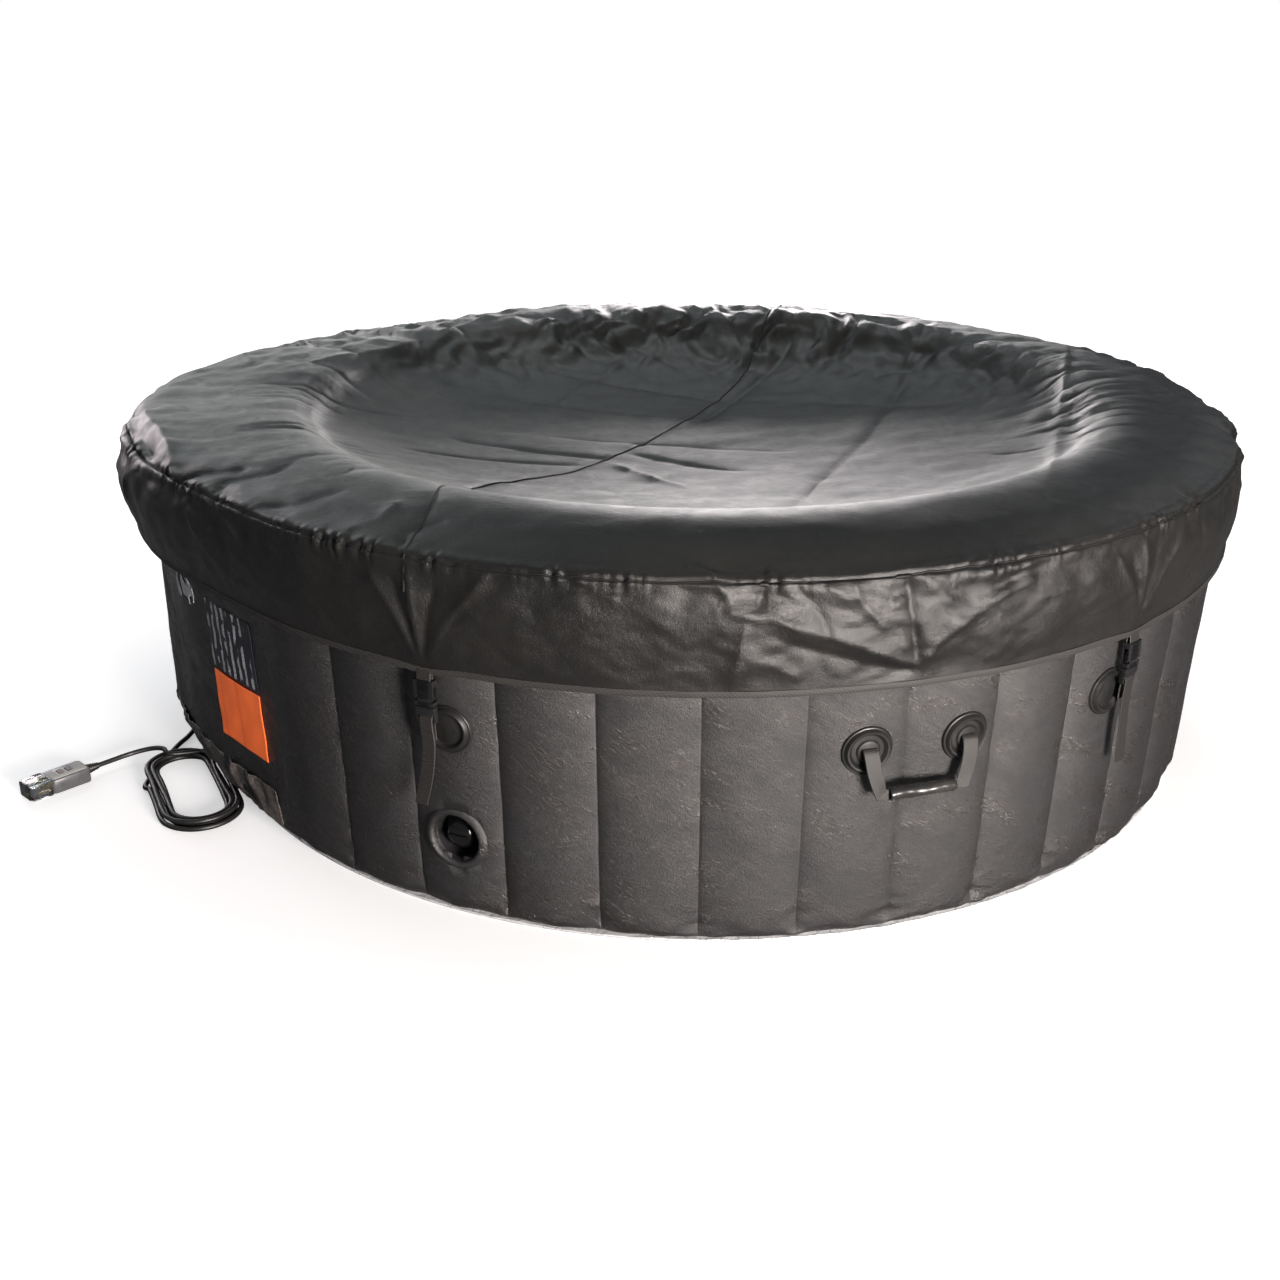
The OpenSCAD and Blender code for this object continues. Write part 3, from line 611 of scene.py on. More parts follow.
FEED = (
    (-1.066, 0.266, 0.062), (-1.082, 0.270, 0.061), (-1.098, 0.272, 0.056), (-1.112, 0.268, 0.046),
    (-1.124, 0.256, 0.032), (-1.130, 0.238, 0.018), (-1.130, 0.216, 0.008), (-1.124, 0.190, 0.005),
    (-1.108, 0.145, 0.005), (-1.090, 0.100, 0.005), (-1.070, 0.045, 0.005), (-1.050, -0.010, 0.005),
    (-1.032, -0.065, 0.005), (-1.018, -0.120, 0.005), (-1.006, -0.175, 0.005), (-1.000, -0.230, 0.005),
    (-1.003, -0.285, 0.005), (-1.012, -0.340, 0.006), (-1.022, -0.400, 0.010),
)
LEAD = (
    (-1.002, -0.392, 0.021), (-1.020, -0.378, 0.025), (-1.042, -0.373, 0.023), (-1.064, -0.378, 0.020),
    (-1.086, -0.389, 0.017), (-1.108, -0.410, 0.016), (-1.128, -0.432, 0.016),
)
# Each turn's distance in from the coil's outer edge, and its height
TURNS = ((-0.006, 0.0053), (0.0070, 0.0053), (0.0190, 0.0053), (0.0135, 0.0145), (0.0010, 0.0145))


def coil_point(u, inset, z):
    """A point of the long round coil, at u turns from its end on the gland's side, outer side first."""
    arc = math.pi * (COIL_HALF_W - inset)
    straight = 2 * (COIL_HALF_L - COIL_HALF_W)
    s = (u % 1) * 2 * (arc + straight)
    r, flat = COIL_HALF_W - inset, straight / 2
    if s < straight:
        x, y = -flat + s, r
    elif s < straight + arc:
        a = (s - straight) / r
        x, y = flat + r * math.sin(a), r * math.cos(a)
    elif s < 2 * straight + arc:
        x, y = flat - (s - straight - arc), -r
    else:
        a = (s - 2 * straight - arc) / r
        x, y = -flat - r * math.sin(a), -r * math.cos(a)
    a = math.radians(COIL_AZ)
    out = (math.sin(a), -math.cos(a))
    along = (math.cos(a), math.sin(a))
    return [
        COIL_R * out[0] + x * along[0] + y * out[0], COIL_R * out[1] + x * along[1] + y * out[1],
        z + 0.0004 * math.sin(9 * u)
    ]


def coil_route():
    """The turns of the coil, each easing into the next, a little loose."""
    steps = 28
    route = []
    for i in range(1, len(TURNS) * steps - 5):
        u = i / steps
        turn, share = min(int(u), len(TURNS) - 1), ramp(u - int(u), 0.62, 1.0)
        here, there = TURNS[turn], TURNS[min(turn + 1, len(TURNS) - 1)]
        loose = 0.0022 * math.sin(2 * math.pi * u + 0.9) + 0.0014 * math.sin(5.1 * math.pi * u)
        route.append(coil_point(u, here[0] + (there[0] - here[0]) * share + loose,
                                here[1] + (there[1] - here[1]) * share))
    return route


def supply_cord():
    """The cord from its gland round the coil to the plug, and its length."""
    route = smooth_curve([*FEED[:-1], *coil_route(), *LEAD], step=0.006)
    data = bpy.data.curves.new("supply_cord", "CURVE")
    data.dimensions = "3D"
    line = data.splines.new("POLY")
    line.points.add(len(route) - 1)
    line.points.foreach_set("co", np.hstack([route, np.ones((len(route), 1))]).ravel())
    line.use_smooth = True
    data.bevel_depth = CORD_D / 2
    data.bevel_resolution = 4
    data.use_fill_caps = True
    obj = bpy.data.objects.new("supply_cord", data)
    scene.collection.objects.link(obj)
    length = float(np.linalg.norm(np.diff(route, axis=0), axis=1).sum())
    return settle(obj, RUBBER, "tub", ("cord_feed", "cord_coil", "cord_lead")), length


cord, cord_length = supply_cord()


# ---- Ribbed wall ---------------------------------------------------------------------------

def wall_radius(h):
    return WALL_R + WALL_FLARE * h


# Sections are [radius, height, share of the bulge, share of the rib grooves]
WALL_FACE = (
    (0.962, 0.009, 0.1, 0.0), (0.970, 0.015, 0.35, 0.35), (0.977, 0.032, 0.65, 1),
    (wall_radius(0.080), 0.080, 0.96, 1), (wall_radius(0.200), 0.200, 0.90, 1),
    (wall_radius(0.330), 0.330, 0.80, 1), (wall_radius(0.450), 0.450, 0.72, 1),
    (wall_radius(0.450) - 0.005, 0.520, 0.76, 0.8), (wall_radius(0.450) - 0.018, 0.575, 0.80, 0.3),
)
RIM_THICK = 0.003
RIM_FACE = (
    (0.974, 0.579, 1), (0.958, 0.604, 0.95), (0.930, 0.624, 0.8), (0.900, 0.632, 0.6),
    (0.860, 0.625, 0.35), (0.825, 0.606, 0.15), (0.804, 0.582, 0),
)


def wall_surface(az, h):
    """Radius of the wall's outer face, without its small wrinkles."""
    face = np.asarray(WALL_FACE)
    h = np.asarray(h, float)
    r, share, ribs = (np.interp(h, face[:, 1], face[:, k]) for k in (0, 2, 3))
    return r + share * BULGE_OUT * bump(az) - ribs * groove(az)


def cling(az, h, x, y, off):
    """Points on the wall, x along it and y up from (az, h), and off out of it."""
    turn = az + np.degrees(np.asarray(x, float) / WALL_R)
    return around(turn, wall_surface(turn, h + np.asarray(y, float)) + off, h + np.asarray(y, float))


def rib_azimuths(per_rib=22):
    """Azimuths round the wall, closer together near each valley."""
    t = -np.cos(math.pi * np.arange(per_rib) / per_rib)
    return (np.arange(RIB_COUNT)[:, None] * RIB_ANGLE + (t + 1) / 2 * RIB_ANGLE).ravel()


def outer_wall():
    """The ribbed outer skin, wrinkled near its valleys and foot, with a hole for the drain."""
    az = rib_azimuths()
    foot = smooth_curve(WALL_FACE, 400)[:24:3]
    rows = np.vstack([foot, smooth_curve(WALL_FACE, 58)[4:]])
    r, z, share, ribs = (rows[:, k][:, None] for k in range(4))
    radius = r + share * BULGE_OUT * bump(az) - ribs * groove(az)
    p = around(az, radius, z)
    t = np.abs(2 * np.mod(az / RIB_ANGLE, 1) - 1)
    ribbed = np.where(bump(az) > 0, 0.0, 1.0)
    near_valley = ribbed * ramp(t, 0.45, 0.97)
    soft = 0.0011 * ripple(p, 0.22, 3) + 0.0005 * ripple(p, 0.07, 4)
    tucks = 0.0009 * near_valley * ripple(np.stack([p[..., 0], p[..., 1], 4 * p[..., 2]], -1), 0.06, 5)
    hem = 0.0022 * hill(z, 0.012, 0.022) * ripple(p, 0.030, 6)
    slack = bump(az) ** 0.5 * (0.0035 * ripple(p * (1, 1, 0.35), 0.16, 7) + 0.0012 * crumple(p, 0.12, 8))
    off = soft + tucks + hem + slack * ramp(z, 0.02, 0.12)
    p = around(az, radius + off, z + 0 * az)
    faces = np.array(grid_faces(len(rows), len(az), wrap_cols=True))
    flat = p.reshape(-1, 3)
    centre = flat[faces].mean(1)
    m = np.array(wall_frame(DRAIN_AZ, DRAIN_H).inverted())
    local = centre @ m[:3, :3].T + m[:3, 3]
    faces = faces[(np.hypot(local[:, 0], local[:, 1]) > DRAIN_HOLE_R) | (local[:, 2] < 0)]
    faces = faces[:, ::-1].tolist()
    make("tub_wall", flat, faces, VINYL, "tub", ("outer_wall",), thick=0.0025)


def rim_ring():
    """The inflated rim under the cover, open over the control unit."""
    top = smooth_curve(RIM_FACE, 30)
    section = np.vstack([top, top[::-1] - (0, RIM_THICK, 0)])
    az = np.linspace(-66, 246, 420)
    r, z, share = (section[:, k][:, None] for k in range(3))
    p = around(az, r + share * BULGE_OUT * bump(az), z)
    p[..., 2] += 0.0012 * ripple(p, 0.05, 11) + 0.0015 * ripple(p, 0.3, 12)
    rows, n = len(section), len(az)
    closing = [[(rows - 1) * n + i, i, i + 1, (rows - 1) * n + i + 1] for i in range(n - 1)]
    ends = [[j * n for j in range(rows)], [j * n + n - 1 for j in range(rows)][::-1]]
    faces = grid_faces(rows, n) + closing + ends
    make("tub_rim", p.reshape(-1, 3), faces, VINYL, "tub", ("top_ring",))


def inner_liner():
    """The inner wall, with soft pads between its welds, and the quilted floor."""
    az = np.arange(0, 360, 0.75)
    z = np.linspace(0.013, 0.580, 40)[:, None]
    pads = 0.0045 * np.abs(np.sin(np.radians(az) * 20)) ** 0.7 * np.sin(math.pi * (z - 0.013) / 0.567) ** 0.5
    p = around(az, 0.7995 - pads, z)
    faces = np.array(grid_faces(len(z), len(az), wrap_cols=True))
    flat = p.reshape(-1, 3)
    centre = flat[faces].mean(1)
    keep = np.ones(len(faces), bool)
    for side in (-0.09, 0.09):
        keep &= ~((np.hypot(centre[:, 1] + side, centre[:, 2] - 0.14) < 0.026) & (centre[:, 0] < 0))
    drain = around(DRAIN_AZ, INNER_R, DRAIN_H)
    keep &= np.linalg.norm(centre - drain, axis=1) > 0.026
    make("tub_liner", flat, faces[keep].tolist(), LINER, "tub", ("inner_wall",), thick=0.002)
    r = np.linspace(0.0, 0.796, 60)[:, None]
    az = np.arange(0, 360, 2.0)
    x, y = around(az, r, 0)[..., 0], around(az, r, 0)[..., 1]
    dimples = np.cos(2 * math.pi * x / 0.11) * np.cos(2 * math.pi * y / 0.11)
    top = around(az, r, 0.0125 + 0.0022 * dimples * ramp(0.8 - r, 0.0, 0.05))
    low = around(az, r[::-1], 0.0085)
    points = np.vstack([top.reshape(-1, 3), low.reshape(-1, 3)])
    make("tub_floor", points, grid_faces(2 * len(r), len(az), wrap_cols=True), LINER, "tub",
         ("floor_sheet",))


def ground_mat():
    """Foil-faced foam mat, its cut edge crinkled and a little curled."""
    rim_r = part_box("ground_mat")[1].x - 0.014
    r = np.concatenate([np.linspace(0, 0.93, 12), np.linspace(0.945, rim_r, 16)])[:, None]
    az = np.arange(0, 360, 0.4)
    p = around(az, r, 0)
    loose = ramp(r, 0.950, rim_r)
    nicks = np.clip(ripple(around(az, 1, 0), 0.010, 24) - 1.1, 0, 1)
    lift = 0.0005 * ripple(p, 0.030, 21) + 0.0005 * crumple(p, 0.035, 22) + 0.006 * nicks - 0.0015
    edge_r = r + loose * (0.0010 * ripple(p, 0.05, 23) - 0.003)
    top = around(az, edge_r, np.clip(0.0052 + loose * lift, 0.0015, 0.011))
    low = around(az, r[::-1] - 0.003 * loose[::-1], 0.0004 + 0 * az)
    points = np.vstack([top.reshape(-1, 3), low.reshape(-1, 3)])
    mat = make("ground_mat_foil", points, grid_faces(2 * len(r), len(az), wrap_cols=True), FOIL, "tub",
               ("ground_mat",))


def jet_ring():
    """The air ring round the floor, with its row of small outlets."""
    form = Form()
    a = np.arange(0, 360, 1.5)
    b = np.radians(np.arange(0, 360, 22.5))[:, None]
    holes = 0.0016 * (np.cos(np.radians(a) * 60) > 0.9) * (np.abs(b - math.pi * 0.75) < 0.25)
    r = 0.773 + (0.019 - holes) * np.cos(b)
    z = 0.033 + (0.019 - holes) * np.sin(b)
    form.add(around(a, r, z), grid_faces(len(b), len(a), True, True))
    form.piece("jet_ring", LINER, "tub", "liner", ("air_jet_ring",))


outer_wall()
rim_ring()
inner_liner()
ground_mat()
jet_ring()


# ---- Labels and flap on the bulge ----------------------------------------------------------

def cling_sheet(name, az0, az1, low, high, lift, material, node, wrinkle, cols=40, rows=40, bite=None):
    """A thin sheet that follows the wall between two azimuths and two heights."""
    az = np.linspace(az0, az1, cols)[None, :]
    h = np.linspace(low, high, rows)[:, None]
    az, h = np.broadcast_arrays(az, h)
    p = around(az, wall_surface(az, h), h)
    off = lift + wrinkle(p)
    top = around(az, wall_surface(az, h) + off, h).reshape(-1, 3)
    faces = np.array(grid_faces(rows, cols))
    if bite is not None:
        centre = top[faces].mean(1)
        faces = faces[bite(azimuth(centre), centre[:, 2])]
    make(name, top, faces[:, ::-1].tolist(), material, "tub", node, thick=0.0008)


def torn_outline(az, h):
    """Which parts are left of the scrap of an old label."""
    edge = 0.5 * np.sin(130 * h + az) * np.sin(1.9 * az) + 0.2 * np.sin(4 * az)
    return edge > 14 * np.abs(h - 0.400 + 0.004 * turned(az, -62)) - 0.2


def labels():
    info = printed_marks("info_print", (0.006, 0.008, 0.015), (0.012, 0.015, 0.026), (0.60, 0.61, 0.64),
                         0.020, 0.034, 0.47)
    # The orange label's ground glows at strength 0.30: painted light that makes the print look brighter
    order = printed_marks("orange_print", (0.80, 0.13, 0.025), (0.86, 0.17, 0.04), (0.60, 0.08, 0.015),
                          0.030, 0.50, 0.56, 0.30)
    cling_sheet("info_label_sheet", -57, -47.8, 0.280, 0.405, 0.0030, info, ("info_label",),
                lambda p: 0.0008 * ripple(p, 0.03, 31))
    cling_sheet("orange_label_sheet", -57, -47.8, 0.146, 0.272, 0.0030, order,
                ("orange_label",), lambda p: 0.0007 * ripple(p, 0.04, 32))
    torn = moulded("torn_print", (0.42, 0.43, 0.45), (0.62, 0.63, 0.65), 0.5)
    cling_sheet("torn_label_sheet", -64.5, -59.6, 0.372, 0.420, 0.0052, torn, (),
                lambda p: 0.0006 * ripple(p, 0.02, 35), 44, 44, torn_outline)
    cling_sheet("service_flap_sheet", -78, -47, 0.022, 0.096, 0.0040, FLAP, ("service_flap",),
                lambda p: 0.0022 * crumple(p, 0.06, 33) + 0.0016 * ripple(p, 0.03, 34), 150, 26)


# ---- Welded patches and valves -------------------------------------------------------------

def welded_patch(form, az, h, boss):
    """A round patch that follows the wall, with a bead at its edge and a raised ring."""
    middle = ((0.0, 0.0068), (0.012, 0.0068), (0.0165, 0.0060)) if boss else (
        (0.0, 0.0040), (0.012, 0.0040), (0.0165, 0.0038))
    profile = np.array([
        *middle, (0.019, 0.0030), (0.025, 0.0030), (0.0275, 0.0058),
        (0.0300, 0.0085), (0.0325, 0.0088), (0.0345, 0.0062), (0.0360, 0.0034), (0.0375, 0.0030),
        (0.0388, 0.0040), (0.0398, 0.0030), (0.0402, 0.0004), (0.0400, -0.0025), (0.0, -0.0025),
    ])
    a = np.radians(np.arange(0, 360, 6))
    r, off = profile[:, 0][:, None], profile[:, 1][:, None]
    r = np.maximum(r, 1e-5)
    points = cling(az, h, r * np.cos(a), r * np.sin(a), off + 0 * a)
    form.add(points, grid_faces(len(profile), len(a), wrap_cols=True))


def patches():
    form = Form()
    for az in HANDLE_AZ:
        for side in (-1, 1):
            welded_patch(form, az + side * PATCH_SPREAD, HANDLE_H, True)
    form.piece("handle_patch_set", PATCH, "tub", "patch_vinyl", ("handle_patches",))
    form = Form()
    for az in STRAP_AZ:
        welded_patch(form, az, STRAP_H, False)
    form.piece("strap_patch_set", PATCH, "tub", "patch_vinyl", ("strap_patches",))


def scallops(count, edge_r, depth):
    """Grip marks round a cap: a wave for the part of its outline past a radius."""
    return lambda profile, a: -depth * (profile[:, :1] > edge_r) * (0.5 + 0.5 * np.cos(count * a))


def valves():
    """The drain's ring, cup and knob, and the air valve's seat and lid."""
    form = Form(wall_frame(DRAIN_AZ, DRAIN_H))
    form.lathe((
        (0.0385, 0.9750), (0.0400, 0.9800), (0.0408, 0.9850), (0.0425, 0.9872), (0.0450, 0.9880),
        (0.0490, 0.9868), (0.0525, 0.9845), (0.0545, 0.9815), (0.0480, 0.9800), (0.0400, 0.9745),
    ), 72)
    form.piece("drain_ring", VINYL, "tub", "wall_laminate")
    form = Form(wall_frame(DRAIN_AZ, DRAIN_H))
    form.lathe((
        (0.0420, 0.9800), (0.0405, 0.9812), (0.0398, 0.9800), (0.0385, 0.9740), (0.0365, 0.9600),
        (0.0345, 0.9505), (0.0300, 0.9482), (0.0200, 0.9480), (0.0172, 0.9465), (0.0170, 0.8000),
        (0.0180, 0.7935),
        (0.0310, 0.7930), (0.0320, 0.7950), (0.0315, 0.7985), (0.0200, 0.7990), (0.0200, 0.9440),
        (0.0380, 0.9442), (0.0420, 0.9800),
    ), 72)
    form.piece("drain_cup", BLACK, "tub", "gloss_moulding", ("drain_housing",))
    form = Form(wall_frame(DRAIN_AZ, DRAIN_H))
    form.lathe((
        (1e-5, 0.9492), (0.0300, 0.9492), (0.0312, 0.9505), (0.0312, 0.9600), (0.0300, 0.9625),
        (0.0270, 0.9640), (0.0255, 0.9660), (0.0235, 0.9705), (0.0200, 0.9745), (0.0150, 0.9772),
        (0.0090, 0.9786), (1e-5, 0.9790),
    ), 80, wave=scallops(20, 0.029, 0.0012))
    form.block((0.034, 0.0075, 0.012), (0, 0, 0.9765), 0.003)
    form.piece("drain_knob", GLOSS, "drain_cap", "gloss_moulding", ("drain_cap",))
    form = Form(wall_frame(AIR_AZ, AIR_H))
    form.lathe(((0.012, 0.9560), (0.012, 0.9968), (0.020, 0.9972), (0.029, 0.9965), (0.031, 0.9945),
                (0.031, 0.9925), (0.018, 0.9930), (0.018, 0.9560)), 56)
    form.piece("air_valve_seat", BLACK, "tub", "black_moulding", ("air_valve_body",))
    form = Form(wall_frame(AIR_AZ, AIR_H))
    form.lathe(((0.0200, 0.9978), (0.0235, 0.9976), (0.0240, 0.9990), (0.0240, 1.0060), (0.0230, 1.0078),
                (0.0180, 1.0082), (1e-5, 1.0082), (1e-5, 1.0050), (0.0195, 1.0048)), 80,
               wave=scallops(30, 0.0232, 0.0007))
    form.block((0.032, 0.006, 0.0058), (0, 0, 1.0100), 0.0022)
    form.piece("air_valve_lid", GLOSS, "air_valve_cap", "gloss_moulding", ("air_valve_cap",))


# ---- Carry handles -------------------------------------------------------------------------

def dents(profile, a):
    """Shallow twisting dents of the grip's sleeve, outside only."""
    return 0.0005 * np.sin(2 * a + 90 * profile[:, 1:]) * (profile[:, :1] > 0.0088)


def handle(number, az):
    """Two straps that twist into a rounded grip, hung from the pivot between the patches."""
    body = f"handle_{number}"
    place = wall_frame(az, HANDLE_H, PIVOT_R) @ Matrix.Rotation(math.radians(-HANDLE_TILT), 4, "X")
    form = Form(place)
    for side in (-1, 1):
        drop = np.array([
            (0.0805, 0.006, -0.0060), (0.0805, 0.001, -0.0012), (0.0798, -0.010, 0.0012),
            (0.0775, -0.026, 0.0020), (0.0735, -0.042, 0.0016), (0.0695, -0.055, 0.0008),
            (0.0665, -0.0645, 0.0),
        ])
        path = smooth_curve(drop, 30)
        twist = ramp(np.linspace(0, 1, len(path))[:, None], 0.62, 1)
        across = np.array([1.0, 0.0, 0.0]) * (1 - twist) + np.array([0.72, -0.62, 0.10]) * twist
        inward = np.linspace(0, 1, 10)[1:, None] * np.array([-0.022, 0.0, 0.0]) + path[-1]
        turn = ramp(np.linspace(0, 1, 10)[1:, None], 0.0, 0.4)
        folded = across[-1] * (1 - turn) + np.array([0.0, -0.62, 0.0]) * turn
        path, across = np.vstack([path, inward]), np.vstack([across, folded])
        path, across = path * (side, 1, 1), across * (side, 1, 1)
        form.ribbon(path, across, WEB_W, 0.0022, 0.00025)
    form.piece(f"handle_web_{number}", WEB, body, "webbing", (f"handle_strap_{number}",))
    form = Form(place @ Matrix.Translation((0, -GRIP_DROP, 0)) @ Matrix.Rotation(math.pi / 2, 4, "Y"))
    half = GRIP_L / 2
    along = np.linspace(-half + 0.002, half - 0.002, 26)
    outer = [(0.0100 - 0.0004 * math.sin(9 * x / half) ** 2, x) for x in along]
    inner = [(0.0074, x) for x in np.linspace(half - 0.001, -half + 0.001, 6)]
    form.lathe([(0.0090, -half), *outer, (0.0090, half), *inner], 40, wave=dents)
    form.piece(f"handle_sleeve_{number}", SLEEVE, body, "grip_sleeve", (f"handle_grip_{number}",))


# ---- Side-release buckles and straps -------------------------------------------------------

def buckle_plug(number, az):
    """Male half: base, two barbed arms, the ladder bars, the lower strap and the free ribbed tail."""
    form = Form(wall_frame(az, 0))
    y = HEM_H - 0.0675
    form.block((0.034, 0.0140, 0.0120), (0, y, BUCKLE_R), 0.003)
    form.block((0.028, 0.0030, 0.0130), (0, y + 0.002, BUCKLE_R), 0.001)
    form.block((0.028, 0.0030, 0.0130), (0, y - 0.003, BUCKLE_R), 0.001)
    for side in (-1, 1):
        form.block((0.0055, 0.030, 0.0058), (side * 0.0095, HEM_H - 0.047, BUCKLE_R), 0.0018)
        form.block((0.0030, 0.0080, 0.0056), (side * 0.0125, HEM_H - 0.041, BUCKLE_R), 0.0012)
        form.block((0.0042, 0.0140, 0.0080), (side * 0.0149, HEM_H - 0.080, BUCKLE_R - 0.001), 0.0014)
    for lift in (-0.006, 0.0, 0.006):
        bar = [(x, HEM_H - 0.080 + lift, BUCKLE_R - 0.001) for x in (-0.0145, 0.0, 0.0145)]
        form.tube(bar, 0.0019, 10)
    form.piece(f"buckle_clip_{number}", BLACK, f"buckle_{number}", "black_moulding")
    form = Form(wall_frame(az, 0))
    lean = (-0.010, 0.004, -0.004, 0.005)[number - 1]
    tail = smooth_curve([
        (0, HEM_H - 0.074, BUCKLE_R - 0.0015), (0, HEM_H - 0.079, BUCKLE_R + 0.0028),
        (0, HEM_H - 0.090, BUCKLE_R + 0.0032), (-0.2 * lean, HEM_H - 0.125, BUCKLE_R + 0.0022),
        (0.2 * lean, HEM_H - 0.165, BUCKLE_R + 0.0026), (lean, HEM_H - 0.200, BUCKLE_R + 0.0020),
        (1.9 * lean, HEM_H - 0.229, BUCKLE_R + 0.0005),
    ], 84)
    form.ribbon(tail, (1, 0, 0), WEB_W * 0.92, 0.0018, 0.00085)
    lower = smooth_curve([
        (0, HEM_H - 0.076, BUCKLE_R - 0.0005), (0, HEM_H - 0.085, BUCKLE_R - 0.0035),
        (0, HEM_H - 0.100, BUCKLE_R - 0.0055), (0, HEM_H - 0.116, BUCKLE_R - 0.0060),
    ], 24)
    form.ribbon(lower, (1, 0, 0), WEB_W * 0.92, 0.0016, 0.0003)
    form.piece(f"buckle_tail_{number}", WEB, f"buckle_{number}", "webbing", (f"buckle_plug_{number}",))


def buckle_sockets():
    """Female halves under the cover's hem, each with its windows, ribs and a loop of webbing."""
    plastic, web = Form(), Form()
    for az in BUCKLE_AZ:
        place = wall_frame(az, 0)
        y = HEM_H - 0.038
        for depth in (-0.0054, 0.0054):
            plastic.block((0.034, 0.030, 0.0030), (0, y + 0.006, BUCKLE_R + depth), 0.0014, place)
            plastic.block((0.022, 0.042, 0.0030), (0, y, BUCKLE_R + depth), 0.0014, place)
            plastic.block((0.034, 0.008, 0.0030), (0, y - 0.0170, BUCKLE_R + depth), 0.0014, place)
        for side in (-1, 1):
            plastic.block((0.0030, 0.010, 0.0130), (side * 0.0155, y + 0.016, BUCKLE_R), 0.001, place)
            plastic.block((0.0030, 0.007, 0.0130), (side * 0.0155, y - 0.0172, BUCKLE_R), 0.001, place)
        for k in range(4):
            rib = (0, y + 0.004 - 0.0042 * k, BUCKLE_R + 0.0072)
            plastic.block((0.018, 0.0014, 0.0012), rib, 0.0004, place)
        plastic.block((0.030, 0.004, 0.004), (0, y + 0.0185, BUCKLE_R), 0.0015, place)
        loop = smooth_curve([
            (0, HEM_H + 0.002, BUCKLE_R - 0.0010), (0, HEM_H - 0.010, BUCKLE_R - 0.0028),
            (0, y + 0.0175, BUCKLE_R - 0.0034), (0, y + 0.0150, BUCKLE_R + 0.0002),
            (0, y + 0.0180, BUCKLE_R + 0.0034), (0, HEM_H - 0.008, BUCKLE_R + 0.0022),
            (0, HEM_H + 0.001, BUCKLE_R + 0.0008),
        ], 40)
        web.ribbon(loop, (1, 0, 0), WEB_W, 0.0014, 0.0002, place)
    plastic.piece("buckle_shells", BLACK, "cover", "black_moulding", ("buckle_sockets",))
    web.piece("buckle_loops", WEB, "cover", "webbing")


labels()
patches()
valves()
for number, az in enumerate(HANDLE_AZ, 1):
    handle(number, az)
for number, az in enumerate(BUCKLE_AZ, 1):
    buckle_plug(number, az)
buckle_sockets()


# ---- Fitted cover --------------------------------------------------------------------------

# Section from the middle of the top over the crest and the ring seam to the hem
COVER_FACE = (
    (0.0, CREST_H - SAG, 0), (0.300, CREST_H - 0.91 * SAG, 0), (0.550, CREST_H - 0.68 * SAG, 0),
    (0.700, CREST_H - 0.042, 0), (0.755, CREST_H - 0.010, 0), (0.795, CREST_H + 0.006, 0),
    (0.840, CREST_H + 0.010, 0.6), (0.900, CREST_H + 0.004, 1.4), (0.950, CREST_H - 0.006, 1.4),
    (0.985, CREST_H - 0.017, 1.2), (HEM_R, CREST_H - 0.031, 1.0), (HEM_R + 0.003, CREST_H - 0.038, 1.1),
    (HEM_R + 0.007, 0.570, 1.25), (HEM_R + 0.008, 0.540, 1.3), (HEM_R + 0.003, 0.482, 1.2),
    (HEM_R, HEM_H + 0.002, 1.05),
)
SEAM_R = HEM_R + 0.001
CLOTH_SHARE, CLOTH_COLUMNS, CLOTH_FRAMES = 0.30, 240, 20
# Azimuth and half width, in degrees, of the smooth roll at the front
FRONT_AZ, FRONT_HALF = -2, 58
MAX_FOLD = 0.020
COVER_THICK = 0.0022
# Points round a ring of the cover, from the middle outwards
RING_POINTS = (210, 420, 840, 1680)


def cover_rows(step_in, step_out, seam_rows):
    """Rows of the cover's section: radius, height, share of the bulge, distance below the ring seam."""
    fine = smooth_curve(COVER_FACE, 3000)
    run = np.concatenate([[0], np.cumsum(np.linalg.norm(np.diff(fine[:, :2], axis=0), axis=1))])
    seam = run[np.argmin(np.abs(fine[:, 0] - SEAM_R) + np.abs(fine[:, 1] - CREST_H + 0.031))]
    rim = run[np.argmin(np.abs(fine[:, 0] - 0.72))]
    at = np.concatenate([
        np.linspace(0, rim, int(rim / step_in), endpoint=False)[1:],
        np.linspace(rim, run[-1], int((run[-1] - rim) / step_out)),
        seam + np.array([-0.006, -0.0035, -0.0015, 0, 0.0015, 0.0035, 0.006]) if seam_rows else [],
    ])
    at = np.unique(np.round(at, 4))
    at = at[np.concatenate([[True], np.diff(at) > 0.0012])]
    r, z, share = (np.interp(at, run, fine[:, k]) for k in range(3))
    slope_r, slope_z = (np.interp(at, run, np.gradient(fine[:, k], run)) for k in range(2))
    return r, z, share, at - seam, -slope_z, slope_r


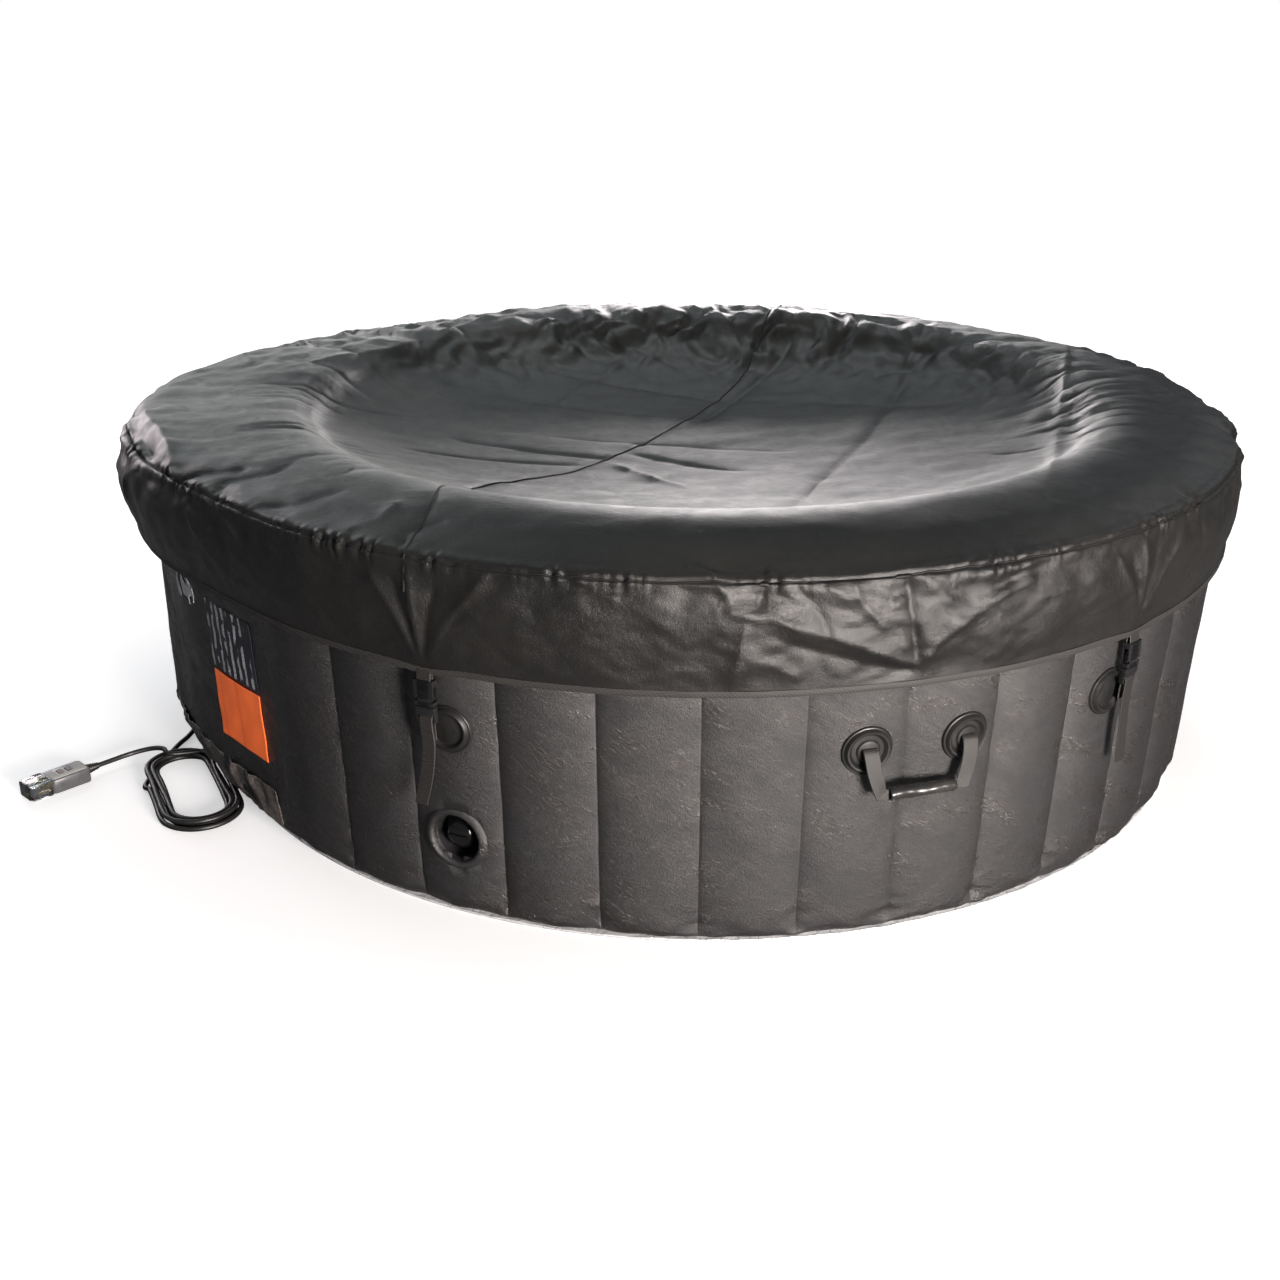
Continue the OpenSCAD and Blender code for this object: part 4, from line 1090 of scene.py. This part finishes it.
def cloth_moves(az_count):
    """A short cloth simulation of the cover with a little spare material, held at its crest and hem.
    Gives the rows' distances below the seam and how far each point moved."""
    r, z, share, below, _, _ = cover_rows(0.030, 0.020, False)
    az = np.arange(az_count) * 360 / az_count
    base = around(az, r[:, None] + share[:, None] * BULGE_OUT * bump(az), z[:, None])
    rows = len(r)
    rough = 0.0022 * ripple(base, 0.07, 41) + 0.0014 * ripple(base, 0.035, 42)
    start = base + rough[..., None] * around(az, 0.5, 0.8)
    middle = np.array([[0, 0, CREST_H - SAG]])
    points = np.vstack([start.reshape(-1, 3), middle])
    hub = rows * az_count
    faces = grid_faces(rows, az_count, wrap_cols=True)
    faces += [[hub, i, (i + 1) % az_count] for i in range(az_count)]
    mesh = bpy.data.meshes.new("cloth")
    mesh.from_pydata(points.tolist(), [], faces)
    obj = bpy.data.objects.new("cloth", mesh)
    scene.collection.objects.link(obj)
    held = obj.vertex_groups.new(name="held")
    hold = np.maximum(hill(below, below[-1], 0.012), 0.9 * hill(below, -0.085, 0.020))
    for j in range(rows):
        held.add(list(range(j * az_count, (j + 1) * az_count)), float(hold[j]), "REPLACE")
    cloth = obj.modifiers.new("cloth", "CLOTH")
    s = cloth.settings
    s.quality, s.mass, s.air_damping = 5, 0.25, 4.0
    s.tension_stiffness, s.compression_stiffness, s.shear_stiffness = 25, 25, 6
    s.bending_stiffness = 0.35
    s.tension_damping = s.compression_damping = 12
    s.shrink_min = s.shrink_max = -0.022
    s.vertex_group_mass = "held"
    s.pin_stiffness = 2.0
    s.effector_weights.gravity = 0.12
    cloth.collision_settings.use_collision = False
    for frame_number in range(1, CLOTH_FRAMES + 1):
        scene.frame_set(frame_number)
    done = obj.evaluated_get(bpy.context.evaluated_depsgraph_get()).to_mesh()
    moved = np.array([v.co for v in done.vertices])[:hub].reshape(rows, az_count, 3) - base
    scene.frame_set(1)
    bpy.data.objects.remove(obj)
    size = np.linalg.norm(moved, axis=-1, keepdims=True)
    cap = 0.016
    return below, moved * (cap * np.tanh(size / cap) / np.maximum(size, 1e-9))


def cubic_weights(t):
    """Weights of four neighbours for a smooth curve through the middle two."""
    return np.stack([
        -0.5 * t + t**2 - 0.5 * t**3, 1 - 2.5 * t**2 + 1.5 * t**3,
        0.5 * t + 2 * t**2 - 1.5 * t**3, -0.5 * t**2 + 0.5 * t**3
    ], -1)


def taken_up(moves, below, rows, ring_az):
    """The simulated moves at one ring of the fine mesh, by cubic interpolation."""
    at = np.interp(rows, below, np.arange(len(below)))
    i = int(np.clip(np.floor(at), 1, len(below) - 3))
    row = np.tensordot(cubic_weights(np.array(at - i)), moves[i - 1: i + 3], 1)
    n = row.shape[0]
    x = ring_az / 360 * n
    j = np.floor(x).astype(int)
    w = cubic_weights(x - j)
    return sum(w[:, k: k + 1] * row[(j + k - 1) % n] for k in range(4))


# The top's seam and storage folds, in plan: points, height of the fold and its half width
CROSS_SEAM = ((-0.43, -0.925), (-0.41, -0.82), (-0.405, -0.60), (-0.39, -0.42), (-0.33, -0.29),
              (-0.24, -0.19), (-0.11, 0.03), (-0.03, 0.20), (0.09, 0.46), (0.17, 0.74), (0.24, 0.955))
TOP_FOLDS = (
    (((-0.66, 0.62), (-0.39, 0.51), (-0.22, 0.46), (0.04, 0.37), (0.23, 0.34)), -0.0060, 0.011),
    (((0.23, 0.34), (0.42, 0.25), (0.66, 0.20), (0.92, 0.15)), -0.0050, 0.010),
    (((-0.05, 0.93), (-0.11, 0.74), (-0.20, 0.51), (-0.34, 0.18)), 0.0045, 0.008),
    (((-0.12, 0.78), (0.01, 0.58), (0.08, 0.50)), -0.0070, 0.012),
    (((0.29, 0.92), (0.21, 0.62), (0.09, 0.37), (-0.02, 0.14)), -0.0080, 0.014),
    (((-0.44, 0.84), (-0.56, 0.58), (-0.67, 0.38), (-0.86, 0.10)), 0.0050, 0.008),
    (((-0.88, 0.00), (-0.69, 0.02), (-0.58, 0.06)), -0.0050, 0.009),
    (((0.83, 0.44), (0.75, 0.12), (0.62, -0.38), (0.54, -0.66)), 0.0055, 0.009),
    (((0.58, 0.74), (0.48, 0.43), (0.34, 0.03), (0.22, -0.26), (0.14, -0.55)), -0.0055, 0.009),
    (((-0.50, -0.02), (-0.32, -0.06), (-0.16, -0.09)), -0.0065, 0.011),
    (((-0.58, -0.17), (-0.38, -0.15), (-0.20, -0.14)), -0.0050, 0.010),
    (((-0.17, -0.12), (-0.10, -0.21), (-0.02, -0.31)), 0.0060, 0.010),
    (((-0.15, -0.04), (0.00, -0.12), (0.12, -0.17)), -0.0065, 0.011),
    (((-0.40, 0.30), (-0.10, 0.24), (0.10, 0.21)), -0.0030, 0.010),
    (((-0.30, 0.05), (0.00, 0.02), (0.20, -0.02)), -0.0040, 0.011),
    (((-0.52, 0.66), (-0.44, 0.72), (-0.30, 0.74)), -0.0070, 0.014),
    (((0.35, 0.60), (0.55, 0.50), (0.80, 0.44)), -0.0060, 0.012),
    (((0.30, 0.80), (0.48, 0.70), (0.60, 0.56)), 0.0060, 0.012),
    (((-0.30, 0.86), (-0.18, 0.66), (-0.02, 0.52)), 0.0060, 0.011),
    (((0.02, 0.88), (0.10, 0.70), (0.12, 0.52)), 0.0060, 0.012),
)
# Folds of the skirt and the crest: points of azimuth in degrees and distance below the ring seam
SKIRT_FOLDS = (
    (((4.8, -0.034), (4.6, 0.010), (4.1, 0.050)), -0.0070, 0.007),
    (((3.3, 0.055), (2.9, 0.100), (2.2, 0.172)), 0.0065, 0.012),
    (((1.6, 0.038), (3.2, 0.048), (4.6, 0.052)), 0.0050, 0.006),
    (((4.4, 0.046), (8.0, 0.070), (12.5, 0.100), (17.6, 0.142)), 0.0085, 0.010),
    (((5.0, 0.080), (9.0, 0.106), (13.0, 0.130), (17.4, 0.152)), -0.0060, 0.010),
    (((16.2, -0.006), (16.6, 0.050), (17.6, 0.142)), -0.0085, 0.010),
    (((17.6, 0.142), (18.9, 0.108), (22.2, 0.066), (26.0, 0.036)), 0.0065, 0.009),
    (((12.6, 0.168), (15.0, 0.158), (17.6, 0.145)), -0.0050, 0.007),
    (((16.6, 0.006), (19.2, 0.026), (22.0, 0.014), (28.0, 0.008)), 0.0050, 0.007),
    (((21.5, 0.050), (24.2, 0.046), (28.4, 0.030)), 0.0045, 0.007),
    (((23.5, 0.034), (27.0, 0.020), (30.5, 0.012)), -0.0050, 0.006),
    (((-13.5, 0.014), (-8.5, 0.016), (-2.0, 0.010), (3.2, 0.028)), -0.0050, 0.006),
    (((-11.0, -0.006), (-9.0, 0.012), (-6.5, 0.030)), 0.0035, 0.006),
    (((-1.2, -0.034), (0.6, -0.010), (2.2, 0.030)), 0.0060, 0.008),
    (((7.0, 0.004), (9.0, 0.045), (10.0, 0.090)), -0.0045, 0.009),
    (((11.6, 0.000), (12.4, 0.036), (14.6, 0.080)), 0.0050, 0.008),
    (((9.4, 0.004), (11.0, 0.024), (13.6, 0.030)), 0.0040, 0.006),
    (((8.0, 0.150), (5.0, 0.120), (3.0, 0.112)), 0.0035, 0.009),
    (((-57.6, 0.004), (-62.0, -0.040), (-67.0, -0.078)), 0.0080, 0.010),
    (((-57.6, 0.004), (-55.5, -0.040), (-52.0, -0.090)), -0.0100, 0.010),
    (((-57.6, 0.004), (-66.0, -0.014), (-74.0, -0.050)), -0.0070, 0.012),
    (((-50.0, 0.010), (-51.5, -0.040), (-49.0, -0.100), (-50.0, -0.150)), -0.0090, 0.010),
    (((-63.0, -0.050), (-70.0, -0.080), (-80.0, -0.075)), 0.0090, 0.012),
    (((-57.0, 0.010), (-54.0, 0.040), (-52.4, 0.070)), 0.0060, 0.008),
    (((-50.2, 0.012), (-47.0, 0.036), (-45.4, 0.052)), 0.0050, 0.007),
    (((-66.0, 0.010), (-70.0, 0.050), (-69.0, 0.100)), 0.0070, 0.014),
    (((-76.0, 0.016), (-80.0, 0.060), (-78.0, 0.130)), -0.0060, 0.016),
    (((-44.0, -0.012), (-40.0, -0.050), (-38.0, -0.120)), -0.0060, 0.010),
    (((-33.0, -0.010), (-30.0, -0.060), (-31.0, -0.130)), 0.0040, 0.012),
    (((-25.5, -0.006), (-26.4, -0.050), (-24.0, -0.100)), -0.0050, 0.009),
)


def fan(az):
    """Folds that run up the skirt from the strap that pulls on the hem."""
    for spread, top, height in ((-4.8, 0.020, 0.0055), (-2.6, 0.030, -0.0050), (-0.9, 0.008, 0.0060),
                                (1.6, 0.030, -0.0050), (4.4, 0.060, -0.0050), (6.6, 0.004, 0.0080)):
        yield ((az, 0.168), (az + 0.42 * spread, 0.5 * (0.168 + top)), (az + spread, top)), height, 0.009


def tension_folds():
    """Fine folds that run in from the rim, most of them on the right."""
    rng = np.random.default_rng(78)
    for i in range(46):
        az = rng.uniform(52, 122) if i < 28 else rng.uniform(-130, -10)
        start, length = rng.uniform(0.84, 0.92), rng.uniform(0.12, 0.30)
        lean = rng.uniform(-4, 7)
        line = around(az + lean * np.array([0, 0.4, 1]), start - length * np.array([0, 0.5, 1]), 0)[:, :2]
        yield line, -rng.uniform(0.0012, 0.0034), rng.uniform(0.005, 0.010)


def chance_folds():
    """Seeded folds for the parts of the skirt and rim away from the front."""
    rng = np.random.default_rng(77)
    for az in np.arange(52, 300, 5.2):
        if abs(turned(az, -62)) < 14:
            continue
        a, low, high = az + rng.uniform(-2, 2), rng.uniform(0.05, 0.16), rng.uniform(-0.09, 0.04)
        lean = rng.uniform(-6, 6)
        line = ((a, low), (a + 0.5 * lean + rng.uniform(-1, 1), (low + high) / 2), (a + lean, high))
        yield line, rng.uniform(0.003, 0.008) * rng.choice((-1, 1)), rng.uniform(0.010, 0.020)


def slack_rings(rows, counts):
    """The cover before its folds: points, outward directions, azimuths and depths below the ring seam."""
    r, z, share, below, out, up = rows
    coarse, moves = cloth_moves(CLOTH_COLUMNS)
    rings = []
    for j, n in enumerate(counts):
        az = np.arange(n) * 360 / n
        p = around(az, r[j] + share[j] * BULGE_OUT * bump(az), z[j])
        tied = float(ramp(below[-1] - below[j], 0.0, 0.05))
        roll = float(ramp(r[j], 0.72, 0.79)) * float(ramp(-below[j], -0.03, 0.0))
        free = CLOTH_SHARE * tied * (1 - 0.85 * roll * hill(turned(az, FRONT_AZ), 0, FRONT_HALF))
        p = p + free[:, None] * taken_up(moves, coarse, below[j], az)
        rings.append((p, around(az, out[j], up[j]), az, np.full(n, below[j])))
    p, normal, az, depth = (np.concatenate(column) for column in zip(*rings))
    return p, normal, turned(az, 0), depth


def top_folds(p, az, depth):
    """Storage folds, tension folds and crumpled vinyl of the top. The front roll stays smooth."""
    plan = p[:, :2]
    radius = np.linalg.norm(plan, axis=1)
    top = ramp(-depth, 0.03, 0.09)
    shift = (0.0030 * ripple(plan, 0.34, 51) + 0.0014 * ripple(plan * (0.35, 1), 0.055, 52)) * top
    for line, height, width in TOP_FOLDS:
        shift += crease(plan, line, height, width) * top
    for line, height, width in tension_folds():
        shift += crease(plan, line, height, width)
    shift *= 1 - 0.85 * ramp(radius, 0.74, 0.80) * hill(az, FRONT_AZ, FRONT_HALF) * ramp(-depth, 0.0, 0.03)
    rear = hill(turned(az, 176), 0, 58) * hill(radius, 0.72, 0.15)
    left = hill(turned(az, -128), 0, 26) * hill(radius, 0.93, 0.12)
    shift += 0.0085 * crumple(p, 0.13, 53, 4) * rear
    return shift + 0.0050 * crumple(p, 0.065, 54, 3) * np.maximum(rear, 0.8 * left)


def skirt_folds(unrolled, scale):
    """Folds drawn on the skirt, those made by chance and the fans at the buckles."""
    shift = np.zeros(len(unrolled))
    fans = [fold for buckle in BUCKLE_AZ for fold in fan(buckle)]
    for line, height, width in (*SKIRT_FOLDS, *chance_folds(), *fans):
        far = np.array(line) * scale
        for turn in (0, 360):
            near = np.abs(unrolled[:, 0] - far[:, 0].mean() + turn * scale[0]) < 0.3
            if near.any():
                shift[near] += crease(unrolled[near] + (turn * scale[0], 0), far, height, width)
    return shift


def skirt_crumple(p, az, depth, unrolled):
    """Facets of the skirt's loose vinyl, strongest at the front and on the pouch, and the gathered seam."""
    skirt = ramp(depth, -0.10, 0.0)
    bright = hill(az, 12, 17) * hill(depth, 0.055, 0.075)
    pouch = hill(az, -66, 18) * hill(depth, -0.03, 0.06)
    tall = p * (1, 1, 1.3)
    shift = skirt * (0.0012 + 0.0012 * bright + 0.0050 * pouch) * crumple(tall, 0.150, 55, 4)
    shift += skirt * (0.0005 + 0.0008 * bright) * crumple(tall, 0.045, 56)
    shift += skirt * 0.0016 * ripple(p, 0.10, 57)
    pull = hill(depth, 0.0, 0.014) * (0.0016 + 0.0016 * ripple(unrolled * (1, 0.3), 0.11, 58))
    return shift + pull * crumple(unrolled * (1, 0.25), 0.022, 59)


def sewn_relief(plan, depth):
    """Rolls on both sides of the ring seam, and the groove of the cross seam."""
    rolls = 0.0035 * hill(depth, -0.010, 0.008) + 0.0020 * hill(depth, 0.010, 0.007)
    rolls -= 0.0026 * hill(depth, 0, 0.0028)
    groove_line = crease(plan, CROSS_SEAM, 1.0, 0.010) * ramp(-depth, 0.03, 0.09)
    return rolls - 0.0040 * groove_line * (1 + 0.4 * ripple(plan, 0.05, 60))


def ring_faces(counts, first):
    """Faces between rings, where a ring may have twice the points of the one inside it, and a middle fan."""
    faces = []
    for n, m, a, b in zip(counts, counts[1:], first, first[1:]):
        i = np.arange(n)
        if n == m:
            corners = [a + i, b + i, b + (i + 1) % n, a + (i + 1) % n]
        else:
            corners = [a + i, b + 2 * i, b + 2 * i + 1, b + (2 * i + 2) % m, a + (i + 1) % n]
        faces += np.stack(corners, -1).tolist()
    hub, inner = int(first[-1]), int(counts[0])
    return faces + [[hub, i, (i + 1) % inner] for i in range(inner)]


def fitted_cover():
    """The cover's sheet, with the points of its ring seam and of its lower edge."""
    rows = cover_rows(0.0100, 0.0055, True)
    r, below = rows[0], rows[3]
    counts = np.select([r < 0.16, r < 0.46, below < -0.030], RING_POINTS[:3], RING_POINTS[3])
    p, normal, az, depth = slack_rings(rows, counts)
    scale = np.array([math.radians(1) * HEM_R, 1.0])
    unrolled = np.stack([az, depth], -1) * scale
    shift = top_folds(p, az, depth) + skirt_folds(unrolled, scale) + skirt_crumple(p, az, depth, unrolled)
    hem_depth = depth.max()
    shift *= 0.15 + 0.85 * ramp(hem_depth - depth, 0.0, 0.03)
    shift += sewn_relief(p[:, :2], depth)
    p = p + normal * (MAX_FOLD * np.tanh(shift / MAX_FOLD))[:, None]
    for buckle in BUCKLE_AZ:
        p[:, 2] -= 0.005 * hill(turned(az, buckle) * scale[0], 0, 0.045) * ramp(depth, 0.08, hem_depth)
    first = np.concatenate([[0], np.cumsum(counts)])
    points = np.vstack([p, p[:counts[0]].mean(0)])
    cover = make("cover_sheet", points, ring_faces(counts, first), COVER, "cover",
                 ("cover_top", "cover_skirt"), thick=COVER_THICK)
    seam_row = int(np.argmin(np.abs(below)))
    return cover, p[first[seam_row]: first[seam_row + 1]], p[first[-2]: first[-1]]


def seams(ring, tree):
    """Dark sewn lines: the ring seam at the edge and the cross seam over the top."""
    form = Form()
    n = len(ring)
    path = np.vstack([ring, ring[:1]])
    form.tube(path[: n // 2 + 1], 0.0016, 6)
    form.tube(path[n // 2:], 0.0016, 6)
    line = []
    for x, y in smooth_curve(CROSS_SEAM, step=0.008):
        hit = tree.ray_cast(Vector((x, y, 1.0)), Vector((0, 0, -1)))[0]
        if hit is not None:
            line.append(hit)
    form.tube(line, 0.0019, 6)
    form.piece("cover_seams", THREAD, "cover", "cover_sheet")


def hem(edge):
    """Bound edge that follows the skirt's lower edge."""
    n = len(edge)
    az = azimuth(edge)
    r = np.linalg.norm(edge[:, :2], axis=1)
    wave = 0.0006 * ripple(edge, 0.05, 71)
    outline = np.array([(-0.0035, 0.0045), (-0.0010, 0.0056), (0.0014, 0.0050), (0.0020, 0.0020),
                        (0.0020, -0.0030), (0.0012, -0.0050), (-0.0012, -0.0056), (-0.0036, -0.0040)])
    points = np.stack([around(az, r + dr + wave, edge[:, 2] + dz) for dr, dz in outline])
    form = Form()
    form.add(points, grid_faces(len(outline), n, True, True))
    return form.piece("cover_hem_tape", HEM, "cover", "hem_binding", ("cover_hem",))


cover, seam_ring, lower_edge = fitted_cover()
hem_tape = hem(lower_edge)
cover_points = [v.co.copy() for v in cover.data.vertices]
cover_tree = BVHTree.FromPolygons(cover_points, [list(f.vertices) for f in cover.data.polygons])
seams(seam_ring, cover_tree)


# ---- Plug and strain relief ----------------------------------------------------------------

plug_place = Matrix.Translation((*PLUG_AT, PLUG_LOW)) @ Matrix.Rotation(math.radians(PLUG_TURN), 4, "Z")


def ribbed_cone(r, widening, low, length, steps):
    """Outline of a cone with small ribs: every other point stands out."""
    return [(r + widening * t + 0.0008 * (i % 2), low + length * t)
            for i, t in enumerate(np.linspace(0, 1, steps))]


def round_block(x0, x1, w, h, r, edge=0.003):
    """Rows of a block that is rounded in plan and softened above and below, for a plug's shell."""
    a = np.radians(np.arange(0, 90, 15))
    corner = [(x1 - r + r * math.sin(t), -w / 2 + r - r * math.cos(t)) for t in a]
    outline = corner + [(x1 - r + r * math.cos(t), w / 2 - r + r * math.sin(t)) for t in a]
    outline += [(x0 + r - r * math.sin(t), w / 2 - r + r * math.cos(t)) for t in a]
    outline += [(x0 + r - r * math.cos(t), -w / 2 + r - r * math.sin(t)) for t in a]
    outline = np.array(outline)
    centre = outline.mean(0)
    rows = []
    for lift, inset in ((0, edge), (0.3 * edge, 0.3 * edge), (edge, 0), (h - edge, 0),
                        (h - 0.3 * edge, 0.3 * edge), (h, edge)):
        half = np.array([(x1 - x0) / 2, w / 2])
        flat = centre + (outline - centre) * (half - inset) / half
        rows.append(np.hstack([flat, np.full((len(flat), 1), lift)]))
    return np.vstack(rows), closed_tube_faces(len(rows), len(outline))


def plug():
    """The protective plug's shell, printed panel, ribbed collar and clear cap."""
    form = Form(plug_place)
    form.add(*round_block(0.026, 0.102, 0.050, 0.0285, 0.008))
    form.piece("plug_shell", PLUG_DARK, "tub", "plug_moulding", ("plug_case",))
    form = Form(plug_place)
    form.block((0.066, 0.040, 0.0012), (0.0640, 0, 0.0287), 0.0005)
    for k in range(9):
        form.block((0.0016, 0.036, 0.0014), (0.0345 + 0.0026 * k, 0, 0.0294), 0.0005)
    for k in range(5):
        form.block((0.0016, 0.036, 0.0014), (0.0835 + 0.0028 * k, 0, 0.0294), 0.0005)
    form.piece("plug_panel", PLUG_FACE, "tub", "plug_moulding")
    form = Form(plug_place)
    ribs = ribbed_cone(0.0055, 0.0045, 0.0, 0.028, 15)
    collar = Matrix.Translation((0, 0, 0.015)) @ Matrix.Rotation(math.pi / 2, 4, "Y")
    form.lathe([*ribs, (0.0040, 0.0285), (0.0040, -0.0005)], 28, collar)
    form.piece("plug_collar", RUBBER, "tub", "plug_moulding")
    form = Form(plug_place)
    outer, faces = round_block(0.0985, 0.145, 0.0504, 0.0300, 0.008)
    form.add(outer, faces)
    inner, faces = round_block(0.0975, 0.1425, 0.0464, 0.0262, 0.006)
    form.add(inner + (0, 0, 0.0019), [f[::-1] for f in faces])
    for k in (-1, 1):
        form.block((0.030, 0.0014, 0.0010), (0.120, 0.012 * k, 0.0303), 0.0004)
    form.piece("plug_clear_cap", CLEAR, "plug_cap", "clear_cap", ("plug_cap",))


def gland():
    """The nut and the ribbed strain relief where the cord leaves the wall."""
    form = Form(wall_frame(GLAND_AZ, GLAND_H))
    ribs = ribbed_cone(0.0092, -0.0030, 1.0575, 0.0405, 17)
    form.lathe([(1e-5, 1.037), (0.0100, 1.037), (0.0100, 1.0520), (0.0165, 1.0522), (0.0170, 1.0535),
                (0.0168, 1.0565), (0.0155, 1.0572), *ribs, (1e-5, 1.098)], 40)
    form.piece("cord_relief", BLACK, "tub", "black_moulding", ("cord_gland",))


plug()
gland()


# ---- Finishes of the CAD parts that stay ---------------------------------------------------

FINISHES = {
    "base_ring": VINYL, "chamber_webs": LINER, "pocket_walls": VINYL, "air_valve_stem": GREY,
    "unit_case": GREY, "unit_lid": GREY, "display_window": LENS, "circuit_board": BOARD,
    "button_heat": PALE, "button_filter": PALE, "button_bubbles": PALE, "button_set": PALE,
    "pump_housing": BLACK, "pump_motor": STEEL, "pump_impeller": PALE, "heater_tube": STEEL,
    "water_pipes": GREY, "blower_housing": BLACK, "blower_fan": PALE, "wall_fittings": PALE,
    "filter_cartridge": PAPER, "filter_cap": GREY, "plug_prongs": BRASS, "test_button": BLUE,
    "reset_button": RED,
}
for name, material in FINISHES.items():
    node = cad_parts[name]
    node.data.materials.clear()
    node.data.materials.append(material)


# ---- Floor, light and background -----------------------------------------------------------

def floor():
    mesh = bpy.data.meshes.new("floor")
    mesh.from_pydata([(-30, -30, 0), (30, -30, 0), (30, 30, 0), (-30, 30, 0)], [], [(0, 1, 2, 3)])
    obj = bpy.data.objects.new("floor", mesh)
    scene.collection.objects.link(obj)
    p = Paint("pale_floor", (0.8, 0.8, 0.8), 0.9, Emission_Strength=1.0)
    p.colour(p.blend(p.noise(0.8, 3, 0.5), (0.78, 0.78, 0.78), (0.82, 0.82, 0.82)))
    reach = p.nodes.new("ShaderNodeVectorMath")
    reach.operation = "LENGTH"
    p.links.new(p.place, reach.inputs[0])
    near = p.spread(reach.outputs["Value"], 1.0, 2.6)
    p.links.new(p.blend(near, (0.45, 0.45, 0.45), (1.0, 1.0, 1.0)), p.shader.inputs["Emission Color"])
    dim = p.nodes.new("ShaderNodeBsdfDiffuse")
    dim.inputs["Color"].default_value = (0.20, 0.20, 0.205, 1)
    p.seen_as(dim.outputs[0], p.shader.outputs[0], "Material Output")
    mesh.materials.append(p.material)


def soft_light(name, place, aim, width, height, power, colour=(1, 1, 1), spread=180):
    data = bpy.data.lights.new(name, "AREA")
    data.spread = math.radians(spread)
    data.shape, data.size, data.size_y = "RECTANGLE", width, height
    data.energy, data.color = power, colour
    obj = bpy.data.objects.new(name, data)
    scene.collection.objects.link(obj)
    obj.location = place
    obj.rotation_euler = (Vector(aim) - Vector(place)).to_track_quat("-Z", "Y").to_euler()
    obj.visible_camera = False


def backdrop():
    """White where the camera sees it, and a dim blue room for the light that falls on the tub."""
    world = bpy.data.worlds.new("studio")
    world.use_nodes = True
    nodes, links = world.node_tree.nodes, world.node_tree.links
    room = nodes["Background"]
    room.inputs[0].default_value = (0.72, 0.84, 1.0, 1)
    room.inputs[1].default_value = 0.10
    white = nodes.new("ShaderNodeBackground")
    white.inputs[0].default_value = (1, 1, 1, 1)
    mix = nodes.new("ShaderNodeMixShader")
    links.new(nodes.new("ShaderNodeLightPath").outputs["Is Camera Ray"], mix.inputs[0])
    links.new(room.outputs[0], mix.inputs[1])
    links.new(white.outputs[0], mix.inputs[2])
    links.new(mix.outputs[0], nodes["World Output"].inputs[0])
    scene.world = world


floor()
backdrop()
soft_light("key", (2.1, -4.1, 0.8), (0.1, -0.6, 0.4), 1.3, 1.2, 470, (1.0, 0.92, 0.87))
soft_light("back", (0.25, 3.5, 0.97), (0.1, 0.0, 0.6), 1.3, 0.55, 34, (1.0, 0.94, 0.94))
soft_light("back_wide", (0.1, 3.5, 0.97), (0.0, 0.0, 0.6), 3.2, 0.55, 14, (1.0, 0.98, 0.96))
soft_light("back_left", (-1.9, 3.0, 0.95), (-0.6, 0.0, 0.6), 1.8, 0.6, 7, (1.0, 1.0, 0.97))
soft_light("rear_left", (-3.2, 2.2, 1.2), (-0.8, 0.2, 0.6), 1.0, 1.2, 30, (1.0, 0.90, 0.93))
soft_light("rear_slope", (0.0, 2.5, 2.5), (0.0, 0.60, 0.58), 3.6, 1.2, 1.6, (0.93, 1.0, 1.0), 34)
soft_light("sky_left", (-2.4, 2.0, 2.6), (-0.3, 0.5, 0.6), 1.8, 0.9, 18, (0.93, 1.0, 1.0))
soft_light("sky_right", (3.0, 2.0, 2.4), (0.4, 0.5, 0.6), 1.8, 0.9, 8, (0.97, 1.0, 1.0))
soft_light("top", (0.6, 0.6, 4.8), (0.0, 0.0, 0.5), 2.0, 1.2, 16, (1.0, 0.97, 0.82))
soft_light("left", (-4.2, -1.2, 2.4), (-0.9, 0.0, 0.5), 0.8, 1.2, 10, (1.0, 0.92, 0.94))
scene.view_settings.view_transform = "Standard"
